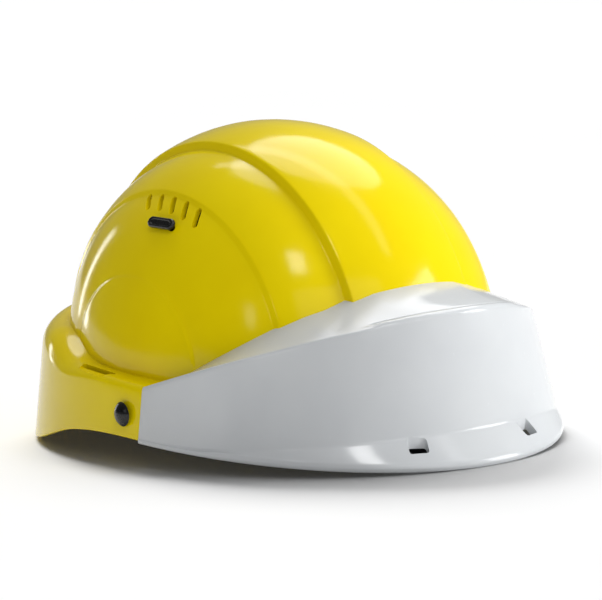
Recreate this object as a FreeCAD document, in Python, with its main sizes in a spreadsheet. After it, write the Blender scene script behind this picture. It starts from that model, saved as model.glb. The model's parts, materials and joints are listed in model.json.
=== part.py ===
import FreeCAD, Part
import math
import os

import Sketcher
from FreeCAD import Matrix, Placement, Rotation, Vector

# Hard hat with a retractable eye shield, in millimetres.
# Head frame: the wearer faces -Y, their right side is -X, +Z is up, and z = 0 is the underside of the
# front brim. Every sub-part is built in that frame and at the end gets the same placement, which sets
# the hat down on its brim and its nape, as it stands on a table.

doc = FreeCAD.newDocument("hard_hat")
sheet = doc.addObject("Spreadsheet::Sheet", "Sizes")

SIZES = [
    ("dome_side", 100.5, "dome half width"),
    ("dome_height", 115.6, "dome radius in a side slice, straight up"),
    ("dome_stretch", 1.09, "fore and aft stretch of every side slice"),
    ("dome_centre_y", 9.4, "dome centre behind the brim's centre"),
    ("dome_centre_z", 28.0, "dome centre height, the ledge's level"),
    ("crest_edge", 35.0, "half width of the crest band"),
    ("terrace_edge", 65.7, "half width of the second band"),
    ("side_edge", 89.7, "where the round side face starts"),
    ("crest_step", 4.4, "drop at the crest's edge"),
    ("terrace_step", 1.8, "drop at the second band's edge"),
    ("side_step", 1.4, "drop at the side face's edge"),
    ("shell_wall", 2.8, "moulded wall of the shell"),
    ("outline_side", 116.0, "half width over ledge and casing"),
    ("outline_rear", 153.5, "outline's reach behind the centre"),
    ("outline_front", 165.8, "brim's reach before the centre"),
    ("ledge_top", 28.5, "level of the ledge"),
    ("ledge_round", 6.0, "outer rounding of the ledge"),
    ("skirt_wall", 2.6, "wall of skirt and casing"),
    ("nape_drop", 31.0, "skirt's reach below the brim at the nape"),
    ("seam_y", -26.6, "seam between skirt and casing"),
    ("seam_gap", 0.3, "gap in the seam"),
    ("brow_low", 4.0, "lower edge of the shell behind the casing"),
    ("pivot_y", -15.0, "rivet and shield axis"),
    ("pivot_z", 13.0, "rivet and shield axis"),
    ("rivet_head", 6.2, "radius of the rivet's dome"),
    ("rivet_shank", 2.5, "radius of the rivet's shank"),
    ("rivet_inner", 101.6, "inner end of the shank"),
    ("running_gap", 0.05, "radial clearance of a turning fit"),
    ("washer_ring", 6.5, "radius of the rivet's washers"),
    ("clip_ring", 4.6, "radius of the retaining clip"),
    ("lens_side", 105.3, "shield's half width at its axis"),
    ("lens_reach", 118.0, "shield's radius about its axis"),
    ("lens_wall", 2.1, "shield thickness"),
    ("arm_wall", 2.4, "arm thickness"),
    ("lens_low", -3.5, "lower edge angle of the stowed shield"),
    ("lens_high", 27.5, "upper edge angle of the stowed shield"),
    ("vent_pitch", 10.5, "spacing of the vent slots"),
    ("vent_width", 3.2, "width of a vent slot"),
    ("vent_length", 11.5, "length of a vent slot"),
    ("shutter_wall", 1.6, "shutter thickness"),
    ("knob_length", 23.0, "slider knob length"),
    ("knob_width", 4.6, "slider knob width"),
    ("band_side", 79.0, "headband half width"),
    ("band_front", 114.0, "headband reach before its centre"),
    ("band_centre_y", 18.0, "centre of the headband's rear arc"),
    ("band_wall", 2.0, "headband thickness"),
    ("band_low", 0.0, "headband's lower edge"),
    ("band_high", 27.0, "headband's upper edge"),
    ("strap_wall", 1.6, "rear strap thickness"),
    ("rack_pitch_radius", 5.0, "pinion pitch radius"),
    ("rack_centre_z", 8.0, "pinion axis height"),
    ("knob_radius", 17.0, "ratchet knob radius"),
    ("knob_depth", 10.0, "ratchet knob depth"),
    ("webbing_width", 20.0, "cradle strap width"),
    ("webbing_wall", 1.0, "cradle strap thickness"),
    ("webbing_crown", 108.0, "top of the uppermost cradle strap"),
]
for row, (alias, value, meaning) in enumerate(SIZES, start=1):
    sheet.set("A%d" % row, alias)
    sheet.set("B%d" % row, str(value))
    sheet.set("C%d" % row, meaning)
    sheet.setAlias("B%d" % row, alias)
doc.recompute()


def size(alias):
    """A driving dimension, read back from the spreadsheet."""
    return float(getattr(sheet, alias))


ALONG_Y = Rotation(Vector(0, 0, 1), Vector(0, 1, 0))
BIG = 400.0
nodes = []


def keep(obj, label):
    """Names a finished sub-part."""
    obj.Label = label
    nodes.append(obj)
    return obj


def keep_shape(label, shape):
    """A sub-part whose surface is worked out by Part's own functions."""
    obj = doc.addObject("Part::Feature", label)
    obj.Shape = shape.Solids[0] if len(shape.Solids) == 1 else shape
    return keep(obj, label)


def primitive(kind, name, at, turn=None, **bound):
    """A Part primitive with its sizes bound to the sheet, or set where they are plain numbers."""
    obj = doc.addObject("Part::" + kind, name)
    obj.Placement = Placement(Vector(*at), turn or Rotation())
    for prop, value in bound.items():
        if isinstance(value, str):
            obj.setExpression(prop, value)
        else:
            setattr(obj, prop, value)
    return obj


def fused(name, *parts):
    """A fusion of objects of this document."""
    obj = doc.addObject("Part::MultiFuse", name)
    obj.Shapes = list(parts)
    return obj


def cut(name, base, tool):
    """One object of this document less another."""
    obj = doc.addObject("Part::Cut", name)
    obj.Base = base
    obj.Tool = tool
    return obj


def box(x0, y0, z0, x1, y1, z1):
    """A plain block between two corners."""
    return Part.makeBox(x1 - x0, y1 - y0, z1 - z0, Vector(x0, y0, z0))


def oval_wire(side, rear, front, z, centre_y=0.0):
    """Two half ellipses that share their ends at the widest place."""
    centre = Vector(0, centre_y, z)
    back = Part.Ellipse(Vector(0, centre_y + rear, z), Vector(side, centre_y, z), centre)
    face = Part.Ellipse(Vector(0, centre_y - front, z), Vector(-side, centre_y, z), centre)
    if rear <= side:
        back = Part.Ellipse(Vector(side, centre_y, z), Vector(0, centre_y + rear, z), centre)
        arc = back.toShape(0, math.pi)
    else:
        arc = back.toShape(-math.pi / 2, math.pi / 2)
    return Part.Wire([arc, face.toShape(-math.pi / 2, math.pi / 2)])


def oval_prism(side, rear, front, low, high, centre_y=0.0):
    """A solid with an oval_wire outline."""
    face = Part.Face(oval_wire(side, rear, front, low, centre_y))
    return face.extrude(Vector(0, 0, high - low))


# ---- shell ------------------------------------------------------------------------------------------

def slice_radius(x):
    """Radius of the dome's parent ellipsoid in the side slice at x."""
    return size("dome_height") * math.sqrt(max(0.0, 1 - (x / size("dome_side")) ** 2))


def band_ends():
    """Start, end and bulge of each of the dome's four bands, as (x, radius) from crest to side."""
    crest = size("crest_edge")
    terrace = size("terrace_edge")
    side = size("side_edge")
    run = 1.0
    return (
        ((0.0, slice_radius(0)), (crest, slice_radius(crest)), 1.75),
        ((crest + run, slice_radius(crest) - size("crest_step")), (terrace, slice_radius(terrace)), 1.9),
        ((terrace + run, slice_radius(terrace) - size("terrace_step") - 1.0),
         (side, slice_radius(side) - 4.5), 3.2),
        ((side + run, slice_radius(side) - 4.5 - size("side_step")), (size("dome_side"), 0.0), 2.2),
    )


def band_circle(start, end, bulge):
    """Centre and radius of the arc that joins two points with the given bulge."""
    chord = math.hypot(end[0] - start[0], end[1] - start[1])
    radius = (chord ** 2 / 4 + bulge ** 2) / (2 * bulge)
    normal = ((start[1] - end[1]) / chord, (end[0] - start[0]) / chord)
    back = radius - bulge
    return (start[0] + end[0]) / 2 - normal[0] * back, (start[1] + end[1]) / 2 - normal[1] * back, radius


def dome_arcs(inset):
    """The four bands' arcs as (start, middle, end), moved inward by inset."""
    arcs = []
    bands = band_ends()
    for number, (start, end, bulge) in enumerate(bands):
        centre_x, centre_r, radius = band_circle(start, end, bulge)
        radius -= inset

        def height(x):
            return centre_r + math.sqrt(radius ** 2 - (x - centre_x) ** 2)

        first = start[0] - inset if number else 0.0
        last = end[0] - inset
        if number == len(bands) - 1:
            last = centre_x + math.sqrt(radius ** 2 - centre_r ** 2)
        middle = (first + last) / 2
        end_r = 0.0 if number == len(bands) - 1 else height(last)
        arcs.append(((first, height(first)), (middle, height(middle)), (last, end_r)))
    return arcs


def dome_face(inset):
    """Upper half of the dome's section in the XZ plane, closed along the X axis."""
    edges = []
    bands = dome_arcs(inset)
    for sign in (1, -1):
        previous = None
        for arc in bands:
            points = [Vector(sign * x, 0, r) for x, r in arc]
            if previous is not None:
                edges.append(Part.LineSegment(previous, points[0]).toShape())
            edges.append(Part.Arc(*points).toShape())
            previous = points[2]
    tip = bands[-1][2][0]
    edges.append(Part.LineSegment(Vector(-tip, 0, 0), Vector(tip, 0, 0)).toShape())
    return Part.Face(Part.Wire(Part.sortEdges(edges)[0]))


def dome_solid(inset):
    """The stepped dome: a body of revolution about X, stretched fore and aft."""
    solid = dome_face(inset).revolve(Vector(0, 0, 0), Vector(1, 0, 0), 360)
    solid = Part.Solid(solid) if solid.ShapeType != "Solid" else solid
    if not inset:
        rims = []
        wanted = (size("crest_edge"), size("terrace_edge"), size("side_edge"))
        for edge in solid.Edges:
            if not edge.Degenerated and isinstance(edge.Curve, Part.Circle):
                if min(abs(abs(edge.Curve.Center.x) - x) for x in wanted) < 0.01:
                    rims.append(edge)
        solid = solid.makeFillet(0.7, rims)
    stretch = Matrix()
    stretch.A22 = size("dome_stretch")
    solid = solid.transformGeometry(stretch)
    solid.translate(Vector(0, size("dome_centre_y"), size("dome_centre_z")))
    return solid


def brow_prism(inset, low, high):
    """Column with the dome's plan outline at the ledge's level."""
    side = size("dome_side") - inset
    reach = size("dome_height") * size("dome_stretch") - inset
    return oval_prism(side, reach, reach, low, high, size("dome_centre_y"))


def skirt_opening():
    """Column that opens the ledge to the dome's hollow, kept under the dome's stepped rear wall."""
    wall = size("shell_wall")
    front = size("dome_height") * size("dome_stretch") - wall
    return oval_prism(size("dome_side") - wall, front - size("crest_step") / 2, front,
                      -BIG / 4, BIG / 4, size("dome_centre_y"))


def outline_prism(inset, low, high):
    """Column with the hat's outline."""
    return oval_prism(size("outline_side") - inset, size("outline_rear") - inset,
                      size("outline_front") - inset, low, high)


def nape_cutter():
    """Everything below the skirt's lower edge, which sweeps down from the seam to the nape."""
    drop = size("nape_drop")
    rear = size("outline_rear")
    line = Part.BSplineCurve()
    line.interpolate([Vector(0, y, z) for y, z in (
        (-40.0, 0.0), (-14.0, 0.0), (5.0, -1.6), (32.0, -0.26 * drop), (74.0, -0.61 * drop),
        (110.0, -0.83 * drop), (rear - 8, -0.965 * drop), (rear + 10, -1.03 * drop))])
    start = line.StartPoint
    end = line.EndPoint
    low = -drop - 40
    frame = [end, Vector(0, end.y, low), Vector(0, start.y, low), start]
    edges = [line.toShape()]
    for first, second in zip(frame, frame[1:]):
        edges.append(Part.LineSegment(first, second).toShape())
    face = Part.Face(Part.Wire(edges))
    return face.translated(Vector(-BIG / 2, 0, 0)).extrude(Vector(BIG, 0, 0))


def terrace_frame(side, x, y):
    """A point of the third band's surface, and the directions outward, forward and down its slope."""
    start, end, bulge = band_ends()[2]
    centre_x, centre_r, curve = band_circle(start, end, bulge)
    radius = centre_r + math.sqrt(curve ** 2 - (x - centre_x) ** 2)
    slope = Vector(end[0] - start[0], 0, end[1] - start[1]).normalize()
    lift = math.degrees(math.asin((y - size("dome_centre_y")) / size("dome_stretch") / radius))
    spin = Rotation(Vector(1, 0, 0), -lift)
    outward = spin.multVec(Vector(-slope.z, 0, slope.x))
    down = spin.multVec(slope)
    rise = radius * math.cos(math.radians(lift))
    point = Vector(side * x, y, size("dome_centre_z") + rise)
    flip = Vector(side, 1, 1)
    outward = Vector(outward.x * flip.x, outward.y, outward.z)
    down = Vector(down.x * flip.x, down.y, down.z)
    return point, outward, down


def slot_tool(point, outward, along, length, width, depth):
    """A round-ended slot cutter through the wall at a point, its length along one direction."""
    across = outward.cross(along).normalize()
    turn = Rotation(along, across, outward, "ZXY")
    body = box(-(length - width) / 2, -width / 2, -depth, (length - width) / 2, width / 2, depth)
    for end in (-1, 1):
        centre = Vector(end * (length - width) / 2, 0, -depth)
        body = body.fuse(Part.makeCylinder(width / 2, 2 * depth, centre))
    body = body.removeSplitter()
    body.Placement = Placement(point, turn)
    return body


VENT_X = 70.0
VENT_FIRST_Y = 27.5
VENT_SLANT = 35.0
KNOB_X = 77.2
KNOB_Y = 3.4
KNOB_LIFT = 1.8
KNOB_HALF = 1.2
SHUTTER_TRAVEL = 5.5


def vent_tools(side, depth):
    """The five slanted vent slots of one side."""
    tools = []
    for index in range(5):
        y = VENT_FIRST_Y - index * size("vent_pitch")
        point, outward, down = terrace_frame(side, VENT_X, y)
        along = Rotation(outward, -VENT_SLANT * side).multVec(down)
        tools.append(slot_tool(point, outward, along, size("vent_length"), size("vent_width"), depth))
    return tools


def knob_slot(side, depth):
    """The slot that the shutter's knob slides along."""
    point, outward, down = terrace_frame(side, KNOB_X, KNOB_Y - SHUTTER_TRAVEL / 2)
    forward = outward.cross(down).normalize()
    return slot_tool(point, outward, forward, 14.5, 3.4, depth)


ACCESSORY_Y = 19.0
ACCESSORY_X = 106.6
ACCESSORY_LENGTH = 28.0
ACCESSORY_WIDTH = 2.6


def accessory_tool(side):
    """Slot through the ledge with a shallow recess outside it."""
    top = size("ledge_top")
    y0 = ACCESSORY_Y - ACCESSORY_LENGTH / 2
    y1 = ACCESSORY_Y + ACCESSORY_LENGTH / 2
    slot = box(ACCESSORY_X - ACCESSORY_WIDTH / 2, y0, top - 8, ACCESSORY_X + ACCESSORY_WIDTH / 2, y1, top + 2)
    recess = box(ACCESSORY_X, y0 + 1, top - 1.2, ACCESSORY_X + 20, y1 - 1, top + 2)
    tool = slot.fuse(recess)
    if side < 0:
        tool = tool.mirror(Vector(0, 0, 0), Vector(1, 0, 0))
    return tool


def rivet_hole(side, radius):
    """Bore for a rivet's shank through skirt and casing tab."""
    start = Vector(side * 90, size("pivot_y"), size("pivot_z"))
    return Part.makeCylinder(radius, 40, start, Vector(side, 0, 0))


def shell_shape():
    """Dome, ledge, skirt and the brow wall behind the casing, in one moulding."""
    wall = size("shell_wall")
    top = size("ledge_top")
    level = size("dome_centre_z")
    seam = size("seam_y")
    dome_out = dome_solid(0)
    dome_in = dome_solid(wall)
    above = box(-BIG, -BIG, level, BIG, BIG, BIG)
    dome = dome_out.common(above).cut(dome_in)
    brow = brow_prism(0, size("brow_low"), level).cut(brow_prism(wall, -BIG / 4, level + 1))
    brow = brow.common(box(-BIG, -BIG, -BIG, BIG, seam + 6, BIG))
    block = outline_prism(0, -size("nape_drop") - 6, top)
    rim = [edge for edge in block.Edges if edge.BoundBox.ZMin > top - 0.01]
    block = block.makeFillet(size("ledge_round"), rim)
    skirt = block.cut(outline_prism(size("skirt_wall"), -BIG / 4, top - size("skirt_wall")))
    skirt = skirt.common(box(-BIG, seam + size("seam_gap"), -BIG, BIG, BIG, BIG))
    skirt = skirt.cut(skirt_opening()).cut(nape_cutter())
    shell = dome.fuse([brow, skirt])
    for side in (-1, 1):
        tools = vent_tools(side, 9) + [knob_slot(side, 9), accessory_tool(side)]
        tools.append(rivet_hole(side, size("rivet_shank") + size("running_gap")))
        shell = shell.cut(tools)
    return shell, dome_out


# ---- front casing -----------------------------------------------------------------------------------

RAIL_STEPS = 12

# Corner curves of the casing, each as (half width, reach forward).
TUCK = (88.0, 92.0)
SHELF_LIP = (111.8, 139.0)
SHELF_TURN = (113.4, 142.0)
WALL_TOP = (114.0, 143.4)
WALL_FOOT = (115.3, 150.4)
BRIM_TOP = (115.8, 164.8)
BRIM_EDGE = (116.0, 165.8)
BRIM_FOOT = (115.7, 165.3)
BRIM_INNER_REACH = 160.6
BRIM_TOP_LEVEL = 2.4
BRIM_EDGE_LEVEL = 1.6
LIP_RISE = 0.3
TURN_DROP = 0.6
WALL_TOP_DROP = 2.6
INNER_TOP_DROP = 3.4
SHELF_LOW = 28.3
SHELF_SLOPE = 0.385
TUCK_LOW = 29.5
TUCK_SLOPE = 0.62
FLARE_START = 62.0
FLARE_LOW = 2.6
FLARE_RISE = 12.6
FLARE_POWER = 1.2


def rail(corner, level, inset=0.0):
    """A curve round the front from seam to seam; level gives its height for a distance forward."""
    side = corner[0] - inset
    reach = corner[1] - inset
    limit = math.acos(-size("seam_y") / reach)
    points = []
    for index in range(-RAIL_STEPS, RAIL_STEPS + 1):
        turn = limit * index / RAIL_STEPS
        forward = reach * math.cos(turn)
        points.append(Vector(side * math.sin(turn), -forward, level(forward)))
    curve = Part.BSplineCurve()
    curve.interpolate(points)
    return curve.toShape()


def shelf_level(forward):
    """Height of the shelf's outer edge."""
    return SHELF_LOW + SHELF_SLOPE * (forward + size("seam_y"))


def joint_level(forward):
    """Height of the line where the wall turns out into the brim."""
    ramp = (forward - FLARE_START) / (WALL_FOOT[1] - FLARE_START)
    return FLARE_LOW + FLARE_RISE * max(0.0, ramp) ** FLARE_POWER


def tuck_level(forward):
    """Height of the casing's upper edge, carried on a little way into the dome."""
    return TUCK_LOW + TUCK_SLOPE * (forward + size("seam_y"))


def casing_rails():
    """Corner curves of the casing's section, in order round it: outside first, then back inside."""
    wall = size("skirt_wall")
    low = wall * 0.35
    return [
        rail(TUCK, tuck_level),
        rail(SHELF_LIP, lambda u: shelf_level(u) + LIP_RISE),
        rail(SHELF_TURN, lambda u: shelf_level(u) - TURN_DROP),
        rail(WALL_TOP, lambda u: shelf_level(u) - WALL_TOP_DROP),
        rail(WALL_FOOT, joint_level),
        rail(BRIM_TOP, lambda u: BRIM_TOP_LEVEL),
        rail(BRIM_EDGE, lambda u: BRIM_EDGE_LEVEL),
        rail(BRIM_FOOT, lambda u: 0.0),
        rail((WALL_FOOT[0] - wall, BRIM_INNER_REACH), lambda u: 0.0),
        rail(WALL_FOOT, lambda u: joint_level(u) - low, wall),
        rail(WALL_TOP, lambda u: shelf_level(u) - INNER_TOP_DROP, wall),
        rail(SHELF_LIP, lambda u: shelf_level(u) - wall + LIP_RISE, wall),
        rail(TUCK, lambda u: tuck_level(u) - wall),
    ]


def casing_body():
    """Ruled walls between neighbouring corner curves, closed by a flat end at each seam."""
    rails = casing_rails()
    faces = []
    for first, second in zip(rails, rails[1:] + rails[:1]):
        faces.append(Part.makeRuledSurface(first, second))
    for end in (0, 1):
        ring = [edge.Vertexes[0 if end == 0 else -1].Point for edge in rails]
        faces.append(Part.Face(Part.makePolygon(ring + ring[:1])))
    shell = Part.makeShell(faces)
    shell.sewShape()
    return Part.makeSolid(shell)


HOLE_X = 33.5
HOLE_Y = -149.0
HOLE_TURN = 22.0
HOLE_LENGTH = 10.0
HOLE_WIDTH = 6.8


def casing_shape(dome_out):
    """Shelf, wall, flared brim and the two rear tabs that the rivets hold."""
    seam = size("seam_y")
    wall = size("skirt_wall")
    body = casing_body()
    body = body.cut([dome_out, brow_prism(0, -5, size("dome_centre_z") + 0.5)])
    solids = sorted(body.Solids, key=lambda solid: solid.Volume)
    body = solids[-1]
    ring_outer = outline_prism(wall + 0.3, 5, 24)
    ring_inner = outline_prism(wall + 2.4, 4, 25)
    tabs = ring_outer.cut(ring_inner).common(box(-BIG, seam - 1, -BIG, BIG, -3, BIG))
    step_outer = outline_prism(1.2, 5, 24)
    steps = step_outer.cut(ring_inner).common(box(-BIG, seam - 9, -BIG, BIG, seam - 0.05, BIG))
    body = body.fuse([tabs, steps])
    for side in (-1, 1):
        hole = box(-HOLE_LENGTH / 2, -HOLE_WIDTH / 2, -5, HOLE_LENGTH / 2, HOLE_WIDTH / 2, 30)
        hole.rotate(Vector(0, 0, 0), Vector(0, 0, 1), side * HOLE_TURN)
        body = body.cut(hole.translated(Vector(side * HOLE_X, HOLE_Y, 0)))
        body = body.cut(rivet_hole(side, size("rivet_shank") + size("running_gap")))
    return body


# ---- rivets, washers and clips at the shield's axis -------------------------------------------------

def side_name(side):
    """The wearer's side that a sign of X stands for."""
    return "right" if side < 0 else "left"


def turn_out(side):
    """Rotation that points a part's own Z outward along X."""
    return Rotation(Vector(0, 0, 1), Vector(side, 0, 0))


def pivot_point(x, side):
    return (side * x, size("pivot_y"), size("pivot_z"))


def make_rivet(side):
    """Domed rivet: a ball cap clipped flat, on a plain shank."""
    name = "casing_pivot_" + side_name(side)
    skin = 115.9
    ball = primitive("Sphere", name + "_ball", pivot_point(skin - 4.6, side), turn_out(side), Radius=7.75)
    trim = primitive("Cylinder", name + "_trim", pivot_point(skin, side), turn_out(side),
                     Radius="Sizes.rivet_head", Height=10.0)
    cap = doc.addObject("Part::MultiCommon", name + "_cap")
    cap.Shapes = [ball, trim]
    shank = primitive("Cylinder", name + "_shank", pivot_point(size("rivet_inner"), side), turn_out(side),
                      Radius="Sizes.rivet_shank", Height=skin + 0.5 - size("rivet_inner"))
    keep(fused(name, cap, shank), name)


def make_ring(name, side, x, height, outer):
    """A flat ring round the rivet's shank."""
    disc = primitive("Cylinder", name + "_disc", pivot_point(x, side), turn_out(side),
                     Radius=outer, Height=height)
    bore = primitive("Cylinder", name + "_bore", pivot_point(x - 1, side), turn_out(side),
                     Radius="Sizes.rivet_shank", Height=height + 2)
    keep(cut(name, disc, bore), name)


# ---- shield -----------------------------------------------------------------------------------------

def shield_solid(inset):
    """Half-ellipse turned about the shield's axis: every point keeps its distance to the casing."""
    side = size("lens_side") - inset
    reach = size("lens_reach") - inset
    ellipse = Part.Ellipse(Vector(0, 0, reach), Vector(side, 0, 0), Vector(0, 0, 0))
    if reach < side:
        raise ValueError("shield must reach further than its half width")
    arc = ellipse.toShape(-math.pi / 2, math.pi / 2)
    chord = Part.LineSegment(Vector(side, 0, 0), Vector(-side, 0, 0)).toShape()
    solid = Part.Face(Part.Wire([arc, chord])).revolve(Vector(0, 0, 0), Vector(1, 0, 0), 360)
    solid = solid if solid.ShapeType == "Solid" else Part.Solid(solid)
    solid.translate(Vector(0, size("pivot_y"), size("pivot_z")))
    return solid


def polar(radius, angle):
    """A point in the side plane through the shield's axis; the angle is measured up from forward."""
    turn = math.radians(angle)
    return Vector(0, size("pivot_y") - radius * math.cos(turn), size("pivot_z") + radius * math.sin(turn))


def sector_prism(near, far, low, high, corner):
    """A ring sector seen from the side, with rounded corners, run across the whole width."""
    middle = (low + high) / 2
    edges = [
        Part.Arc(polar(near, low), polar(near, middle), polar(near, high)).toShape(),
        Part.LineSegment(polar(near, high), polar(far, high)).toShape(),
        Part.Arc(polar(far, high), polar(far, middle), polar(far, low)).toShape(),
        Part.LineSegment(polar(far, low), polar(near, low)).toShape(),
    ]
    face = Part.Face(Part.Wire(edges))
    prism = face.translated(Vector(-BIG / 2, 0, 0)).extrude(Vector(BIG, 0, 0))
    along = [edge for edge in prism.Edges if edge.BoundBox.XLength > BIG / 2]
    return prism.makeFillet(corner, along)


def lens_shape():
    """The clear shield: one skin of the turned ellipse, bounded by two radii and two angles."""
    skin = shield_solid(0).cut(shield_solid(size("lens_wall")))
    return skin.common(sector_prism(40, 130, size("lens_low"), size("lens_high"), 5))


ARM_ANGLE = 12.0
ARM_REACH = 58.0
SCREW_AT = ((46.0, 6.0), (52.0, 15.0))


def arm_shape():
    """Flat arm of the left side, from the rivet to the shield's edge, lying on the shield's own skin."""
    skin = shield_solid(-size("arm_wall") - 0.15).cut(shield_solid(-0.15))
    near = Vector(60, 0, 0)
    out = Vector(1, 0, 0)
    boss = Part.makeCylinder(8.5, 60, polar(0, 0) + near, out)
    far = Part.makeCylinder(9.0, 60, polar(ARM_REACH - 9, ARM_ANGLE) + near, out)
    bar = Part.makeBox(60, ARM_REACH - 9, 13, Vector(60, 9 - ARM_REACH, -6.5))
    bar.rotate(Vector(0, 0, 0), out, -ARM_ANGLE)
    bar.translate(polar(0, 0))
    arm = skin.common(boss.fuse([bar, far]))
    return arm.cut(rivet_hole(1, size("rivet_shank") + size("running_gap")))


def screw_place(side, radius, angle):
    """Where an arm screw sits, and the skin's outward direction there."""
    reach = size("lens_reach")
    wide = size("lens_side")
    x = wide * math.sqrt(1 - (radius / reach) ** 2)
    point = polar(radius, angle)
    point.x = side * x
    lean = Vector(side * x / wide ** 2, 0, 0)
    radial = polar(radius, angle) - polar(0, 0)
    outward = (lean + radial * (1.0 / reach ** 2)).normalize()
    return point, outward


def screw_tools(side, radius, start, length):
    """Cylinders on the two arm screws' lines."""
    tools = []
    for distance, angle in SCREW_AT:
        point, outward = screw_place(side, distance, angle)
        tools.append(Part.makeCylinder(radius, length, point + outward * start, outward))
    return tools


def make_shield():
    """Shield, arms and their screws."""
    lens = lens_shape()
    for side in (-1, 1):
        lens = lens.cut(screw_tools(side, 1.3, -6, 12))
    keep_shape("visor_lens", lens)
    arm = arm_shape().cut(screw_tools(1, 1.3, -6, 12))
    keep_shape("visor_arm_left", arm)
    keep_shape("visor_arm_right", arm.mirror(Vector(0, 0, 0), Vector(1, 0, 0)))
    for side in (-1, 1):
        heads = screw_tools(side, 2.3, size("arm_wall") + 0.2, 0.8)
        shanks = screw_tools(side, 1.25, -size("lens_wall") - 0.7, size("arm_wall") + size("lens_wall") + 1.2)
        nuts = screw_tools(side, 2.0, -size("lens_wall") - 1.1, 1.0)
        screws = []
        for head, shank, nut in zip(heads, shanks, nuts):
            screws.append(head.fuse([shank, nut]).removeSplitter())
        keep_shape("arm_screws_" + side_name(side), Part.Compound(screws))


def grip_shape():
    """Soft lip under the middle of the shield's lower edge, which the fingers pull."""
    skin = shield_solid(-1.2).cut(shield_solid(size("lens_wall") + 1.2))
    low = size("lens_low")
    lip = skin.common(sector_prism(100, 130, low - 2.2, low - 0.02, 0.4))
    return lip.common(box(-32, -BIG, -BIG, 32, BIG, BIG))


# ---- vent shutters ----------------------------------------------------------------------------------

SHUTTER_SKIN = 0.7


def terrace_skin(outer, inner):
    """A layer that lies inside the shell, between two distances from its outside."""
    return dome_solid(outer).cut(dome_solid(inner))


def shutter_field(side, x0, x1, y0, y1):
    """A column over part of the third band."""
    low = min(side * x0, side * x1)
    return box(low, y0, 90, low + (x1 - x0), y1, 160)


def make_shutters():
    """Slotted plate, knob and guide of each side."""
    wall = size("shell_wall")
    plate_out = wall + SHUTTER_SKIN
    plate_in = plate_out + size("shutter_wall")
    plate_skin = terrace_skin(plate_out, plate_in)
    guide_skin = terrace_skin(wall, plate_in + 2.2)
    gap_skin = terrace_skin(wall - 0.5, plate_in + 0.6)
    for side in (-1, 1):
        name = side_name(side)
        plate = plate_skin.common(shutter_field(side, 64.5, 79.5, -20, 40))
        plate = plate.cut(vent_tools(side, 14))
        point, outward, down = terrace_frame(side, KNOB_X, KNOB_Y)
        forward = outward.cross(down).normalize()
        stem = slot_tool(point - outward * 2.25, outward, forward, 6.0, 2.6, 2.85)
        plate = plate.fuse(stem)
        keep_shape("vent_shutter_" + name, plate.Solids[0] if len(plate.Solids) == 1 else plate)
        knob = slot_tool(point + outward * KNOB_LIFT, outward, forward, size("knob_length"),
                         size("knob_width"), KNOB_HALF)
        rims = [edge for edge in knob.Edges if (edge.CenterOfMass - point).dot(outward) > KNOB_LIFT + KNOB_HALF - 0.1]
        knob = knob.makeFillet(1.0, rims)
        keep_shape("shutter_knob_" + name, knob)
        guide = guide_skin.common(shutter_field(side, 60.5, 83.5, -30, 50))
        guide = guide.cut(gap_skin.common(shutter_field(side, 63.9, 80.1, -45, 65)))
        window = terrace_skin(wall, plate_in + 9).common(shutter_field(side, 67, 77, -20, 34))
        guide = guide.cut(window)
        keep_shape("shutter_guide_" + name, guide)


# ---- headband, cradle and crown pad -----------------------------------------------------------------

BAND_END_Y = 45.0
SOFT_GAP = 0.3


def band_ring(outer, inner, low, high):
    """Ring round the head: a semicircle behind, a half ellipse in front."""
    side = size("band_side")
    front = size("band_front")
    centre = size("band_centre_y")
    ring = oval_prism(side + outer, side + outer, front + outer, low, high, centre)
    return ring.cut(oval_prism(side + inner, side + inner, front + inner, low - 1, high + 1, centre))


def headband_shape():
    """Band from behind one temple round the brow to behind the other."""
    ring = band_ring(0, -size("band_wall"), size("band_low"), size("band_high"))
    band = ring.common(box(-BIG, -BIG, -BIG, BIG, BAND_END_Y, BIG))
    ends = [edge for edge in band.Edges if edge.BoundBox.YMin > BAND_END_Y - 0.01
            and edge.BoundBox.ZLength < 0.01]
    return band.makeFillet(0.8, ends)


def sweatband_shape():
    """Soft brow strip inside the front of the headband."""
    inner = size("band_wall") + SOFT_GAP
    ring = band_ring(-inner, -inner - 3.4, size("band_low") - 1, size("band_high") + 1.5)
    return ring.common(box(-BIG, -BIG, -BIG, BIG, -12, BIG))


KEY_TURNS = (38.0, 90.0, 142.0)
KEY_LOW = 19.5
KEY_ARM = 29.0
KEY_HIGH = 42.0
KEY_WIDTH = 16.0


def wall_reach(turn):
    """Distance from the dome's axis to the shell's inner wall, for a turn away from the front."""
    across = math.sin(math.radians(turn)) / (size("dome_side") - size("shell_wall"))
    ahead = math.cos(math.radians(turn)) / (
        size("dome_height") * size("dome_stretch") - size("shell_wall"))
    return 1.0 / math.hypot(across, ahead)


def band_reach(turn):
    """Distance from the dome's axis to the headband's outer face, found by halving."""
    offset = size("dome_centre_y") - size("band_centre_y")
    near = 40.0
    far = 140.0
    for _ in range(40):
        middle = (near + far) / 2
        x = middle * math.sin(math.radians(turn))
        y = offset - middle * math.cos(math.radians(turn))
        reach = size("band_front") if y < 0 else size("band_side")
        inside = (x / size("band_side")) ** 2 + (y / reach) ** 2 < 1
        near, far = (middle, far) if inside else (near, middle)
    return near


def spun(shape, turn, side):
    """Turns a shape from the front towards one side, about the dome's vertical axis."""
    centre = Vector(0, size("dome_centre_y"), 0)
    shape = shape.translated(centre)
    shape.rotate(centre, Vector(0, 0, 1), side * turn)
    return shape


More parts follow.
